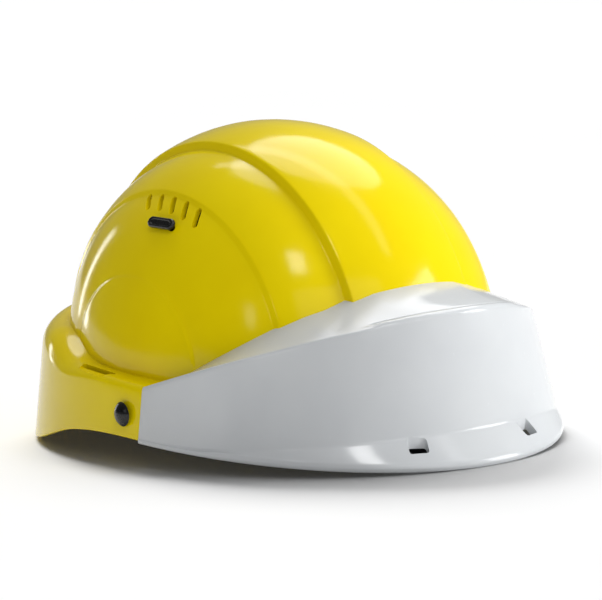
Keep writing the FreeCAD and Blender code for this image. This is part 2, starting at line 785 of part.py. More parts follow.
def key_shape(turn, side, cavity):
    """Bracket from the shell's wall; the front and side ones also carry the headband."""
    wall = wall_reach(turn)
    half = KEY_WIDTH / 2
    band = band_reach(turn) + 1.0 if turn <= 90 else wall - 12
    plate = box(-half, -wall - 9, KEY_ARM, half, -wall + 4.5, KEY_HIGH)
    arm = box(-half, -wall, KEY_ARM, half, -band, KEY_ARM + 2.4)
    parts = [plate, arm]
    if turn <= 90:
        parts.append(box(-half + 3, -band - 2.2, KEY_LOW, half - 3, -band, KEY_ARM + 2.4))
        parts.append(box(-3, -band - 1, KEY_LOW + 1, 3, -band + 2.2, KEY_LOW + 5))
    bracket = parts[0].fuse(parts[1:])
    return spun(bracket, turn, side).common(cavity)


def cavity_shape():
    """Room inside the shell above the ledge's level."""
    wall = size("shell_wall")
    dome = dome_solid(wall + 0.02)
    return dome.common(box(-BIG, -BIG, 0, BIG, BIG, BIG))


def strap_shape(turn, side, top):
    """Webbing from one key over the crown to the key opposite."""
    reach = wall_reach(turn) - 6.5
    foot = KEY_ARM + 2.4
    rise = top - foot
    wall = size("webbing_wall")
    half = size("webbing_width") / 2
    edges = []
    for inset in (0.0, wall):
        arc = Part.Ellipse(Vector(0, reach - inset, foot), Vector(0, 0, foot + rise - inset),
                           Vector(0, 0, foot))
        if rise > reach:
            raise ValueError("the cradle must be flatter than it is wide")
        edges.append(arc.toShape(0, math.pi))
    for sign in (-1, 1):
        start = Vector(0, sign * reach, foot)
        end = Vector(0, sign * (reach - wall), foot)
        edges.append(Part.LineSegment(start, end).toShape())
    face = Part.Face(Part.Wire(Part.sortEdges(edges)[0]))
    web = face.translated(Vector(-half, 0, 0)).extrude(Vector(2 * half, 0, 0))
    return spun(web, turn, side)


def make_cradle():
    """Headband, sweatband, keys, three cradle straps and the crown pad."""
    keep_shape("headband", headband_shape())
    keep_shape("sweatband", sweatband_shape())
    cavity = cavity_shape()
    keys = []
    for turn in KEY_TURNS:
        for side in (-1, 1):
            key = key_shape(turn, side, cavity)
            if turn <= 90:
                key = key.cut(band_ring(0.05, -2.5, size("band_low"), size("band_high") + 0.05))
            keys.append(sorted(key.Solids, key=lambda solid: solid.Volume)[-1])
    keep_shape("suspension_keys", Part.Compound(keys))
    top = size("webbing_crown")
    keep_shape("cradle_strap_middle", strap_shape(90.0, 1, top - 2.8))
    keep_shape("cradle_strap_right", strap_shape(38.0, -1, top - 1.4))
    keep_shape("cradle_strap_left", strap_shape(38.0, 1, top))
    pad = Part.makeCylinder(30, 4, Vector(0, size("dome_centre_y"), top - 12.4))
    keep_shape("crown_pad", pad.makeFillet(1.8, pad.Edges))


# ---- size adjuster at the nape ----------------------------------------------------------------------

TEETH = 8
ADDENDUM = 1.1
DEDENDUM = 1.4
STRAP_END = 88.0
TONGUE_START = 24.0
TONGUE_END = -15.0
RACK_BACK = 4.0


def arc_plate(inner, outer, from_turn, to_turn, low, high):
    """Curved plate behind the head; the turn is 0 at the nape and grows towards the wearer's left."""
    centre = Vector(0, size("band_centre_y"), low)
    plate = Part.makeCylinder(outer, high - low, centre, Vector(0, 0, 1), to_turn - from_turn)
    plate = plate.cut(Part.makeCylinder(inner, high - low, centre))
    plate.rotate(centre, Vector(0, 0, 1), 90 - to_turn)
    return plate


def rack_teeth(inner, outer, pointing):
    """A row of trapezoid teeth along the arc, pointing up (1) or down (-1) from the pitch line."""
    pitch = size("rack_pitch_radius")
    middle = (inner + outer) / 2
    step = math.degrees(2 * math.pi * pitch / TEETH / middle)
    line = size("rack_centre_z") - pointing * pitch
    root = line - pointing * DEDENDUM
    tip = line + pointing * ADDENDUM
    teeth = []
    for number in range(-5, 6):
        outline = [(-1.15, root - pointing * 0.2), (-0.4, tip), (0.4, tip), (1.15, root - pointing * 0.2)]
        points = [Vector(x, inner - 1, z) for x, z in outline]
        face = Part.Face(Part.makePolygon(points + points[:1]))
        tooth = face.extrude(Vector(0, outer - inner + 2, 0))
        tooth.translate(Vector(0, size("band_centre_y"), 0))
        tooth.rotate(Vector(0, size("band_centre_y"), 0), Vector(0, 0, 1), step * number)
        teeth.append(tooth)
    row = teeth[0].fuse(teeth[1:])
    return row.common(arc_plate(inner, outer, -20, 20, -20, 40))


def rear_strap_shape(side):
    """Strap from the temple to the nape; its toothed tongue passes the other strap's tongue."""
    inner = size("band_side") + 0.4
    outer = inner + size("strap_wall")
    pitch = size("rack_pitch_radius")
    low = size("rack_centre_z") - pitch - DEDENDUM - RACK_BACK
    high = size("rack_centre_z") + pitch + DEDENDUM + RACK_BACK
    plate = arc_plate(inner, outer, TONGUE_START, STRAP_END, low, high)
    if side < 0:
        tongue = arc_plate(inner, outer, TONGUE_END, TONGUE_START + 1, high - RACK_BACK, high)
        teeth = rack_teeth(inner, outer, -1)
    else:
        tongue = arc_plate(inner, outer, TONGUE_END, TONGUE_START + 1, low, low + RACK_BACK)
        teeth = rack_teeth(inner, outer, 1)
    strap = plate.fuse([tongue, teeth])
    if side < 0:
        strap = plate.fuse(tongue).mirror(Vector(0, 0, 0), Vector(1, 0, 0)).fuse(teeth)
    return strap


def nape_y(radius):
    """Distance behind the brim's centre for a radius about the headband's rear centre."""
    return size("band_centre_y") + radius


def make_pinion():
    """Pinion with its spindle: teeth between two plain journals."""
    pitch = size("rack_pitch_radius")
    back = nape_y(78.9)
    width = 2.9
    wheel = Part.makeCylinder(pitch - DEDENDUM, width, Vector(0, 0, 0))
    teeth = []
    for number in range(TEETH):
        root = pitch - DEDENDUM - 0.4
        tip = pitch + ADDENDUM
        outline = [(root, -1.15), (tip, -0.4), (tip, 0.4), (root, 1.15)]
        points = [Vector(x, y, 0) for x, y in outline]
        tooth = Part.Face(Part.makePolygon(points + points[:1])).extrude(Vector(0, 0, width))
        tooth.rotate(Vector(0, 0, 0), Vector(0, 0, 1), 360.0 * (number + 0.5) / TEETH)
        teeth.append(tooth)
    spindle = Part.makeCylinder(2.0, 4.0, Vector(0, 0, -1.8))
    shaft = Part.makeCylinder(3.0, width + 5.6, Vector(0, 0, 0))
    pinion = wheel.fuse(teeth + [spindle, shaft])
    pinion = pinion.cut(Part.makeCylinder(1.2, 20, Vector(0, 0, 1)))
    pinion.Placement = Placement(Vector(0, back, size("rack_centre_z")), ALONG_Y)
    keep_shape("pinion_gear", pinion)


def body_plane(body, role):
    """One of a body's own origin planes."""
    for feature in body.Origin.OriginFeatures:
        if feature.Role == role:
            return feature
    raise LookupError(role)


def body_sketch(body, name, offset=0.0):
    """Sketch on the body's XY plane, lifted by an offset."""
    sketch = body.newObject("Sketcher::SketchObject", name)
    sketch.AttachmentSupport = [(body_plane(body, "XY_Plane"), "")]
    sketch.MapMode = "FlatFace"
    sketch.AttachmentOffset = Placement(Vector(0, 0, offset), Rotation())
    return sketch


def add_circle(sketch, x, y, radius_expression):
    """Circle with a bound radius and a fixed centre."""
    number = sketch.addGeometry(Part.Circle(Vector(x, y, 0), Vector(0, 0, 1), 2.0), False)
    sketch.addConstraint(Sketcher.Constraint("DistanceX", -1, 1, number, 3, x))
    sketch.addConstraint(Sketcher.Constraint("DistanceY", -1, 1, number, 3, y))
    bound = sketch.addConstraint(Sketcher.Constraint("Radius", number, 2.0))
    sketch.setExpression("Constraints[%d]" % bound, radius_expression)


def pad_feature(body, name, sketch, length_expression):
    """Pad of a sketch with a bound length."""
    pad = body.newObject("PartDesign::Pad", name)
    pad.Profile = sketch
    pad.setExpression("Length", length_expression)
    return pad


def make_knob():
    """Round knob with a scalloped rim, a screw seat and a bore for the pinion's shaft."""
    body = doc.addObject("PartDesign::Body", "ratchet_knob")
    disc = body_sketch(body, "knob_disc")
    add_circle(disc, 0, 0, "Sizes.knob_radius")
    pad_feature(body, "knob_pad", disc, "Sizes.knob_depth")
    doc.recompute()
    notch = body_sketch(body, "knob_notch", size("knob_depth"))
    add_circle(notch, size("knob_radius") + 1.6, 0, "Sizes.knob_radius * 0.18")
    scallop = body.newObject("PartDesign::Pocket", "knob_scallop")
    scallop.Profile = notch
    scallop.setExpression("Length", "Sizes.knob_depth - 1.5")
    doc.recompute()
    ring = body.newObject("PartDesign::PolarPattern", "knob_scallops")
    ring.Originals = [scallop]
    ring.Axis = (disc, ["N_Axis"])
    ring.Angle = 360
    ring.Occurrences = 14
    body.Tip = ring
    doc.recompute()
    seat = body_sketch(body, "knob_seat", size("knob_depth"))
    add_circle(seat, 0, 0, "4.2")
    seat_pocket = body.newObject("PartDesign::Pocket", "knob_seat_pocket")
    seat_pocket.Profile = seat
    seat_pocket.Length = 3.0
    bore = body_sketch(body, "knob_bore", size("knob_depth"))
    add_circle(bore, 0, 0, "1.3")
    bore_pocket = body.newObject("PartDesign::Pocket", "knob_bore_pocket")
    bore_pocket.Profile = bore
    bore_pocket.Type = 1
    shaft = body_sketch(body, "knob_shaft", 3.2)
    add_circle(shaft, 0, 0, "3.0")
    shaft_pocket = body.newObject("PartDesign::Pocket", "knob_shaft_pocket")
    shaft_pocket.Profile = shaft
    shaft_pocket.Length = 3.2
    body.Placement = Placement(Vector(0, nape_y(84.5), size("rack_centre_z")), ALONG_Y)
    doc.recompute()
    full = math.pi * size("knob_radius") ** 2 * size("knob_depth")
    if not 0.6 * full < body.Shape.Volume < 0.97 * full:
        raise RuntimeError("the knob's pockets point the wrong way")
    keep(body, "ratchet_knob")


def make_knob_screw():
    """Pan-head screw through the knob into the pinion's shaft."""
    head_y = nape_y(84.5) + size("knob_depth") - 3.0
    head = primitive("Cylinder", "screw_head", (0, head_y, size("rack_centre_z")), ALONG_Y,
                     Radius=3.6, Height=2.2)
    shank = primitive("Cylinder", "screw_shank", (0, head_y - 9.6, size("rack_centre_z")), ALONG_Y,
                      Radius=1.15, Height=10.0)
    slot = primitive("Box", "screw_slot", (-0.5, head_y + 1.2, size("rack_centre_z") - 4), None,
                     Length=1.0, Width=2.0, Height=8.0)
    keep(cut("knob_screw", fused("screw_body", head, shank), slot), "knob_screw")


def make_adjuster():
    """Housing, cover, straps, pinion, knob, nape pad and the two hangers to the ledge."""
    centre = size("rack_centre_z")
    low = centre - 14
    high = centre + 14
    cavity = arc_plate(78.9, 81.9, -24, 24, centre - 11, centre + 11)
    housing = arc_plate(76.0, 81.7, -19, 19, low, high).cut(cavity)
    spindle = Part.makeCylinder(2.05, 2.2, Vector(0, nape_y(77.0), centre), Vector(0, 1, 0))
    pocket = Part.makeCylinder(7.2, 1.5, Vector(0, nape_y(78.5), centre), Vector(0, 1, 0))
    keep_shape("ratchet_housing", housing.cut([spindle, pocket]))
    cover = arc_plate(81.75, 84.2, -19, 19, low, high)
    hole = Part.makeCylinder(3.05, 12, Vector(0, nape_y(78), centre), Vector(0, 1, 0))
    room = Part.makeCylinder(7.2, 3.5, Vector(0, nape_y(78.5), centre), Vector(0, 1, 0))
    flat = Part.makeCylinder(size("knob_radius") + 1.0, 5, Vector(0, nape_y(84.2), centre), Vector(0, 1, 0))
    keep_shape("ratchet_cover", cover.cut([hole, room, flat]))
    for side in (-1, 1):
        keep_shape("rear_strap_" + side_name(side), rear_strap_shape(side))
    make_pinion()
    make_knob()
    make_knob_screw()
    pad = arc_plate(70.5, 76.0 - SOFT_GAP, -24, 24, low - 2, high - 2)
    keep_shape("nape_pad", pad.makeFillet(2.0, pad.Edges))
    profile = [Vector(0, y, z) for y, z in (
        (93.0, high), (105.0, high), (127.0, 24.2), (141.0, 24.2), (141.0, 25.85),
        (126.5, 25.85), (104.5, high + 1.8), (93.0, high + 1.8))]
    face = Part.Face(Part.makePolygon(profile + profile[:1]))
    hangers = []
    for side in (-1, 1):
        strip = face.translated(Vector(side * 18 - 6, 0, 0)).extrude(Vector(12, 0, 0))
        hangers.append(strip)
    keep_shape("nape_hangers", Part.Compound(hangers))


def rest_placement(shapes):
    """Tips the hat forward on to its brim and nape, and centres it over the origin."""
    reach = size("outline_rear") + size("outline_front")
    tilt = Rotation(Vector(1, 0, 0), math.degrees(math.atan2(size("nape_drop"), reach)))
    bounds = FreeCAD.BoundBox()
    for shape in shapes:
        tipped = shape.copy()
        tipped.Placement = Placement(Vector(0, 0, 0), tilt)
        bounds.add(tipped.optimalBoundingBox(False, False))
    return Placement(Vector(0, -bounds.Center.y, -bounds.ZMin), tilt)


def build():
    """Every sub-part, in the head frame."""
    shell, dome_outer = shell_shape()
    keep_shape("shell", shell)
    keep_shape("front_casing", casing_shape(dome_outer))
    for side in (-1, 1):
        make_rivet(side)
        name = side_name(side)
        make_ring("pivot_spacer_" + name, side, 108.0, 1.9, "Sizes.washer_ring")
        make_ring("pivot_washer_" + name, side, 103.9, 1.0, "Sizes.washer_ring")
        make_ring("pivot_clip_" + name, side, 102.5, 1.3, "Sizes.clip_ring")
    make_shield()
    keep_shape("visor_grip", grip_shape())
    make_shutters()
    make_cradle()
    make_adjuster()


build()
doc.recompute()
rest = rest_placement([obj.Shape for obj in nodes if obj.Label in ("shell", "front_casing")])
for obj in nodes:
    obj.Placement = rest.multiply(obj.Placement)
doc.recompute()
for obj in doc.Objects:
    if "Invalid" in obj.State or "Error" in obj.State:
        raise RuntimeError("%s failed: %s" % (obj.Label, obj.State))
print("rest placement: shift", tuple(rest.Base), "tilt", math.degrees(rest.Rotation.Angle))
os.makedirs("parts", exist_ok=True)
for obj in nodes:
    if obj.Shape.isNull() or not obj.Shape.isValid():
        raise RuntimeError("%s has a bad shape" % obj.Label)
    obj.Shape.exportStep("parts/%s.step" % obj.Label)
    print("%-22s solids %2d  volume %9.0f" % (obj.Label, len(obj.Shape.Solids), obj.Shape.Volume))
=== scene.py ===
import json
import math

import bmesh
import bpy
from mathutils import Matrix, Vector, noise


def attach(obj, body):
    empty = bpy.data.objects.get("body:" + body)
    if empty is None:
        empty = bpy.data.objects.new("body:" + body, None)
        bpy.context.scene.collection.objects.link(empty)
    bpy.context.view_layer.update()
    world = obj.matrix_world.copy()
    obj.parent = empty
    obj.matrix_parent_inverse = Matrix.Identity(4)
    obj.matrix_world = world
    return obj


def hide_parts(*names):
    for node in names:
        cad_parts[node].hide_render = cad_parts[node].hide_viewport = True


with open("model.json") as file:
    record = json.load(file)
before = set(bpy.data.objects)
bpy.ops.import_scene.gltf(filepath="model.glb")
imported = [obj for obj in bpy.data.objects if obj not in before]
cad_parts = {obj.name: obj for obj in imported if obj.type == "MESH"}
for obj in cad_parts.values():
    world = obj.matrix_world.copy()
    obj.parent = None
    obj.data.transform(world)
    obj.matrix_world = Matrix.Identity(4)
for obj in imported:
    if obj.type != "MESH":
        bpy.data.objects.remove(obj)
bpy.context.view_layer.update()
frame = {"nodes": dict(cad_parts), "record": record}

# Lengths below are millimetres in the head frame: the wearer faces -Y, +Z is up, and z = 0 is the front
# brim's underside. REST sets the hat down on its brim and nape and turns millimetres into metres.

JOINTS = {joint["name"]: joint for joint in frame["record"]["behaviour"]["joints"]}
NODES = frame["nodes"]
MM = 0.001
PIVOT = Vector((0.0, -15.0, 13.0))  # the visor's hinge
DOME_Y = 9.4  # the dome's axis
DOME_Z = 28.0
SEAM = -26.6  # where the white casing meets the yellow skirt


def rest_matrix():
    """Head frame in millimetres to the row frame in metres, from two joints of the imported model."""
    axis = JOINTS["ratchet_turn"]["axis"]
    turn = Matrix.Rotation(math.atan2(axis[2], axis[1]), 4, "X") @ Matrix.Scale(MM, 4)
    shift = Vector(JOINTS["visor_swing"]["pos_m"]) - turn @ PIVOT
    return Matrix.Translation(shift) @ turn


REST = rest_matrix()
TURN = REST.to_3x3().normalized()
BACK = REST.inverted()


def placed(name, data):
    obj = bpy.data.objects.new(name, data)
    bpy.context.scene.collection.objects.link(obj)
    return obj


# ---- camera ----

AZIMUTH = math.radians(54.04)
ELEVATION = math.radians(13.08)
CAMERA_AWAY = 3000.0
AIM_RIGHT = 3.7
AIM_UP = 52.5
LENS = 352.5
SENSOR = 36.0


def head_directions():
    """Directions to the camera, to the picture's right and up, in the head frame."""
    near = Vector((-math.cos(AZIMUTH) * math.cos(ELEVATION),
                   -math.sin(AZIMUTH) * math.cos(ELEVATION), math.sin(ELEVATION)))
    right = Vector((math.sin(AZIMUTH), -math.cos(AZIMUTH), 0.0))
    return near, right, near.cross(right)


NEAR, RIGHT, UP = head_directions()


def make_camera():
    spot = NEAR * CAMERA_AWAY
    aim = RIGHT * AIM_RIGHT + UP * AIM_UP
    back = (spot - aim).normalized()
    right = UP.cross(back).normalized()
    up = back.cross(right)
    axes = Matrix((right, up, back)).transposed().to_4x4()
    data = bpy.data.cameras.new("camera")
    data.lens = LENS
    data.sensor_width = SENSOR
    data.clip_start = 0.1
    data.clip_end = 60.0
    camera = placed("camera", data)
    camera.matrix_world = Matrix.Translation(REST @ spot) @ TURN.to_4x4() @ axes
    bpy.context.scene.camera = camera


make_camera()


# ---- materials ----

class Paint:
    """A Principled material and short calls that add nodes to it. Texture sizes are metres."""

    def __init__(self, name, **values):
        self.mat = bpy.data.materials.new(name)
        self.mat.use_nodes = True
        self.tree = self.mat.node_tree
        self.shader = self.tree.nodes["Principled BSDF"]
        self.place = self.add("ShaderNodeTexCoord").outputs["Object"]
        for key, value in values.items():
            self.shader.inputs[key.replace("_", " ")].default_value = value
        self.heights = []

    def add(self, kind, **values):
        node = self.tree.nodes.new(kind)
        for key, value in values.items():
            setattr(node, key, value)
        return node

    def link(self, source, target):
        self.tree.links.new(source, target)

    def set(self, socket, value):
        if isinstance(value, bpy.types.NodeSocket):
            self.link(value, socket)
        else:
            socket.default_value = value

    def fed(self, node, *values):
        for socket, value in zip(node.inputs, values):
            self.set(socket, value)
        return node.outputs[0]

    def math(self, operation, first, second=0.0, third=0.0):
        return self.fed(self.add("ShaderNodeMath", operation=operation), first, second, third)

    def stretched(self, scale, turn=(0.0, 0.0, 0.0)):
        node = self.add("ShaderNodeMapping")
        self.link(self.place, node.inputs["Vector"])
        node.inputs["Scale"].default_value = scale
        node.inputs["Rotation"].default_value = turn
        return node.outputs[0]

    def noise(self, size, detail=2.0, source=None, rough=0.5):
        node = self.add("ShaderNodeTexNoise")
        self.link(source or self.place, node.inputs["Vector"])
        node.inputs["Scale"].default_value = 1.0 / size
        node.inputs["Detail"].default_value = detail
        node.inputs["Roughness"].default_value = rough
        return node.outputs["Fac"]

    def spots(self, size):
        node = self.add("ShaderNodeTexVoronoi", feature="SMOOTH_F1")
        self.link(self.place, node.inputs["Vector"])
        node.inputs["Scale"].default_value = 1.0 / size
        return node.outputs["Distance"]

    def range(self, value, low, high, to_low, to_high):
        return self.fed(self.add("ShaderNodeMapRange"), value, low, high, to_low, to_high)

    def colours(self, value, *stops):
        node = self.add("ShaderNodeValToRGB")
        ramp = node.color_ramp
        while len(ramp.elements) < len(stops):
            ramp.elements.new(0.5)
        for element, (at, colour) in zip(ramp.elements, stops):
            element.position = at
            element.color = srgb(*colour)
        self.set(node.inputs[0], value)
        self.link(node.outputs[0], self.shader.inputs["Base Color"])

    def rough(self, value):
        self.link(value, self.shader.inputs["Roughness"])

    def bump(self, height, depth):
        """Adds a relief of that depth in metres."""
        self.heights.append(self.math("MULTIPLY", height, depth))

    def done(self):
        if self.heights:
            total = self.heights[0]
            for height in self.heights[1:]:
                total = self.math("ADD", total, height)
            node = self.add("ShaderNodeBump")
            node.inputs["Strength"].default_value = 1.0
            node.inputs["Distance"].default_value = 1.0
            self.link(total, node.inputs["Height"])
            self.link(node.outputs[0], self.shader.inputs["Normal"])
        return self.mat


def srgb(red, green, blue):
    """Linear colour from the 0-255 numbers of a colour picker."""
    linear = []
    for part in (red, green, blue):
        part /= 255.0
        linear.append(part / 12.92 if part <= 0.04045 else ((part + 0.055) / 1.055) ** 2.4)
    return (*linear, 1.0)


def gloss_plastic(name, light, dark, rough, level=0.3):
    """Moulded gloss plastic: orange peel, faint flow waves, hairline scratches and a little dust."""
    paint = Paint(name, IOR=1.49, Specular_IOR_Level=level)
    paint.colours(paint.noise(0.045, 3.0), (0.3, dark), (0.7, light))
    hair = paint.noise(0.004, 2.0, paint.stretched((1.0, 9.0, 1.0), (0.4, 0.7, 0.5)))
    cross = paint.noise(0.004, 2.0, paint.stretched((9.0, 1.0, 1.0), (0.9, 0.2, 0.3)))
    lines = paint.math("MAXIMUM", paint.range(hair, 0.66, 0.74, 0.0, 1.0),
                       paint.range(cross, 0.68, 0.76, 0.0, 1.0))
    soft = paint.range(paint.noise(0.012, 4.0), 0.3, 0.75, rough - 0.03, rough + 0.05)
    paint.rough(paint.math("ADD", soft, paint.math("MULTIPLY", lines, 0.12)))
    paint.bump(paint.noise(0.0016, 1.0), 0.0000022)
    paint.bump(paint.noise(0.016, 1.0), 0.000016)
    paint.bump(lines, -0.0000012)
    return paint.done()


GRAIN = 0.0007


def grained_plastic(name, light, dark, rough, depth=0.00003):
    """Plastic from an etched mould: fine leathery grain with polished high spots."""
    paint = Paint(name, IOR=1.48)
    paint.colours(paint.noise(0.02, 4.0), (0.3, dark), (0.7, light))
    cells = paint.spots(GRAIN)
    paint.rough(paint.math("ADD", paint.range(cells, 0.1, 0.6, rough + 0.06, rough - 0.05),
                           paint.range(paint.noise(0.008, 3.0), 0.3, 0.7, -0.03, 0.05)))
    paint.bump(cells, depth)
    paint.bump(paint.noise(0.0025, 3.0), depth * 0.6)
    return paint.done()


def brushed_steel():
    paint = Paint("steel_brushed", Metallic=1.0, Anisotropic=0.4)
    streak = paint.noise(0.0006, 3.0, paint.stretched((0.08, 1.0, 1.0)))
    paint.colours(streak, (0.3, (150, 150, 152)), (0.7, (198, 198, 200)))
    paint.rough(paint.range(streak, 0.3, 0.7, 0.22, 0.38))
    paint.bump(streak, 0.000006)
    return paint.done()


def clear_shield():
    """Clear hard-coated polycarbonate with faint wipe marks."""
    paint = Paint("shield_clear", IOR=1.58, Transmission_Weight=1.0, Coat_Weight=0.2)
    paint.colours(paint.noise(0.08), (0.0, (236, 243, 244)), (1.0, (244, 249, 250)))
    wipes = paint.noise(0.01, 4.0, paint.stretched((1.0, 1.0, 7.0), (0.3, 0.2, 0.1)))
    paint.rough(paint.range(wipes, 0.45, 0.8, 0.015, 0.09))
    paint.bump(paint.noise(0.05, 1.0), 0.00001)
    return paint.done()


def woven(name, light, dark, pitch):
    """Plain-woven webbing: its UV map runs along and across the strap in metres."""
    paint = Paint(name, Specular_IOR_Level=0.25, Sheen_Weight=0.5, Sheen_Roughness=0.45)
    coords = paint.add("ShaderNodeUVMap", uv_map="strap").outputs[0]
    split = paint.add("ShaderNodeSeparateXYZ")
    paint.link(coords, split.inputs[0])
    turns = 2.0 * math.pi / pitch
    warp = paint.math("SINE", paint.math("MULTIPLY", split.outputs[0], turns))
    weft = paint.math("SINE", paint.math("MULTIPLY", split.outputs[1], turns * 0.5))
    twill = paint.math("SINE", paint.math("ADD", paint.math("MULTIPLY", split.outputs[0], turns * 0.5),
                                          paint.math("MULTIPLY", split.outputs[1], turns)))
    weave = paint.math("ADD", paint.math("MULTIPLY", paint.math("MULTIPLY", warp, weft), 0.5),
                       paint.math("MULTIPLY", twill, 0.3))
    fuzz = paint.noise(0.0004, 3.0)
    level = paint.math("ADD", paint.math("MULTIPLY_ADD", weave, 0.5, 0.45),
                       paint.math("MULTIPLY", fuzz, 0.25))
    paint.colours(level, (0.15, dark), (0.75, light))
    paint.rough(paint.range(level, 0.0, 1.0, 0.9, 0.66))
    paint.bump(weave, 0.00012)
    paint.bump(fuzz, 0.00006)
    return paint.done()


def knit(name, light, dark, pitch=0.0012):
    """Brushed knit over foam: rows of small loops that need no UV map."""
    paint = Paint(name, Specular_IOR_Level=0.2, Sheen_Weight=0.7, Sheen_Roughness=0.5)
    split = paint.add("ShaderNodeSeparateXYZ")
    paint.link(paint.place, split.inputs[0])
    turns = 2.0 * math.pi / pitch
    waves = []
    for axis in range(3):
        waves.append(paint.math("SINE", paint.math("MULTIPLY", split.outputs[axis], turns)))
    loops = paint.math("ADD", paint.math("MULTIPLY", waves[0], waves[2]),
                       paint.math("MULTIPLY", waves[1], paint.math("SUBTRACT", waves[2], waves[0])))
    fuzz = paint.noise(0.0005, 4.0, rough=0.7)
    level = paint.math("ADD", paint.math("MULTIPLY_ADD", loops, 0.16, 0.42),
                       paint.math("MULTIPLY", fuzz, 0.3))
    paint.colours(level, (0.2, dark), (0.8, light))
    paint.rough(paint.range(fuzz, 0.3, 0.7, 0.95, 0.8))
    paint.bump(loops, 0.00007)
    paint.bump(fuzz, 0.00012)
    paint.bump(paint.noise(0.012, 2.0), 0.0003)
    return paint.done()


YELLOW = gloss_plastic("shell_gloss_yellow", (240, 216, 0), (235, 209, 0), 0.12, 0.2)
WHITE = gloss_plastic("casing_gloss_white", (209, 212, 214), (203, 206, 209), 0.14, 0.4)
BLACK = grained_plastic("fittings_black", (17, 17, 18), (11, 11, 12), 0.24, depth=0.000008)
NYLON = grained_plastic("washer_nylon", (226, 222, 208), (212, 207, 192), 0.4, depth=0.00001)
ARM_GREY = grained_plastic("arm_grey", (92, 95, 99), (78, 81, 85), 0.42)
BAND_GREY = grained_plastic("band_grey", (70, 73, 78), (58, 61, 66), 0.46)
STEEL = brushed_steel()
CLEAR = clear_shield()
WEBBING = woven("webbing_grey", (92, 95, 102), (40, 42, 47), 0.0017)
THREAD = woven("thread_pale", (190, 190, 186), (120, 120, 118), 0.0007)
FOAM = knit("foam_knit_black", (74, 76, 82), (26, 27, 30))

SLOTS = {"shell_yellow": YELLOW, "casing_white": WHITE, "black_plastic": BLACK, "washer_nylon": NYLON,
         "steel": STEEL, "clear_lens": CLEAR, "arm_grey": ARM_GREY, "band_grey": BAND_GREY,
         "webbing": WEBBING, "foam_fabric": FOAM}


def paint_nodes():
    for row in frame["record"]["subparts"]:
        node = NODES[row["node"]]
        if not node.material_slots:
            node.data.materials.append(None)
        for place in node.material_slots:
            place.material = SLOTS[row["material_slot"]]


paint_nodes()


# ---- mesh helpers ----

WELD = 2e-6
PAD_WELD = 1e-5


def mend(mesh, weld):
    """Merges the points that share a place and turns every face outward."""
    work = bmesh.new()
    work.from_mesh(mesh)
    bmesh.ops.remove_doubles(work, verts=work.verts, dist=weld)
    bmesh.ops.recalc_face_normals(work, faces=work.faces)
    work.to_mesh(mesh)
    work.free()


def piece(name, points, faces, material, sharp=32.0):
    """A mesh object from head-frame points; edges that turn more than sharp degrees stay sharp."""
    mesh = bpy.data.meshes.new(name)
    mesh.from_pydata([REST @ Vector(point) for point in points], [], faces)
    mesh.materials.append(material)
    mend(mesh, WELD)
    obj = placed(name, mesh)
    smooth(obj, sharp)
    return obj


def smooth(obj, angle):
    obj.data.shade_smooth()
    obj.data.set_sharp_from_angle(angle=math.radians(angle))


def apply_modifiers(obj):
    """Puts what the modifiers make into the mesh itself."""
    bpy.context.view_layer.update()
    graph = bpy.context.evaluated_depsgraph_get()
    made = bpy.data.meshes.new_from_object(obj.evaluated_get(graph), depsgraph=graph)
    obj.modifiers.clear()
    obj.data = made


def carve(obj, cutters, sharp):
    """Cuts closed shapes out of a closed piece."""
    tool = cutters[0] if len(cutters) == 1 else joined("cutter", cutters)
    change = obj.modifiers.new("carve", "BOOLEAN")
    change.operation = "DIFFERENCE"
    change.solver = "EXACT"
    change.object = tool
    material = obj.data.materials[0]
    apply_modifiers(obj)
    obj.data.materials.clear()
    obj.data.materials.append(material)
    for face in obj.data.polygons:
        face.material_index = 0
    bpy.data.objects.remove(tool)
    smooth(obj, sharp)


def joined(name, objs):
    """One piece from several."""
    work = bmesh.new()
    for obj in objs:
        work.from_mesh(obj.data)
    mesh = bpy.data.meshes.new(name)
    work.to_mesh(mesh)
    work.free()
    mesh.materials.append(objs[0].data.materials[0])
    for obj in objs:
        bpy.data.objects.remove(obj)
    return placed(name, mesh)


def quads(rows, columns, closed_columns=False):
    """Faces of a grid whose points are listed row by row."""
    faces = []
    for row in range(rows - 1):
        for column in range(columns if closed_columns else columns - 1):
            here = row * columns
            there = here + columns
            after = (column + 1) % columns
            faces.append((here + column, here + after, there + after, there + column))
    return faces


def loft_faces(rows, count):
    """Faces through closed sections of count points, capped at the first and last."""
    faces = quads(rows, count, closed_columns=True)
    last = (rows - 1) * count
    faces.append(tuple(range(count)))
    faces.append(tuple(range(last + count - 1, last - 1, -1)))
    return faces


def loft(name, loops, material, sharp=32.0):
    """A closed body through sections of equal counts."""
    points = [point for loop in loops for point in loop]
    return piece(name, points, loft_faces(len(loops), len(loops[0])), material, sharp)


HALF_RUN = 0.48  # a rounding takes at most this share of a side


def rounded(corners, closed=True):
    """Rounds a polyline of (point, setback, steps): each corner becomes a short curve."""
    made = []
    total = len(corners)
    for index, (corner, setback, steps) in enumerate(corners):
        corner = Vector(corner)
        inner = closed or 0 < index < total - 1
        if not setback or not inner:
            made.append(corner)
            continue
        sides = []
        for other in (corners[index - 1][0], corners[(index + 1) % total][0]):
            run = Vector(other) - corner
            reach = min(setback, run.length * HALF_RUN)
            sides.append(corner + run.normalized() * reach)
        for step in range(steps + 1):
            part = step / steps
            made.append(sides[0].lerp(corner, part).lerp(corner.lerp(sides[1], part), part))
    return made


def mix(low, high, part):
    return low + (high - low) * part


def ease(value, low, high):
    """0 to 1 with soft ends."""
    part = min(1.0, max(0.0, (value - low) / (high - low)))
    return part * part * (3 - 2 * part)


# ---- shell ----

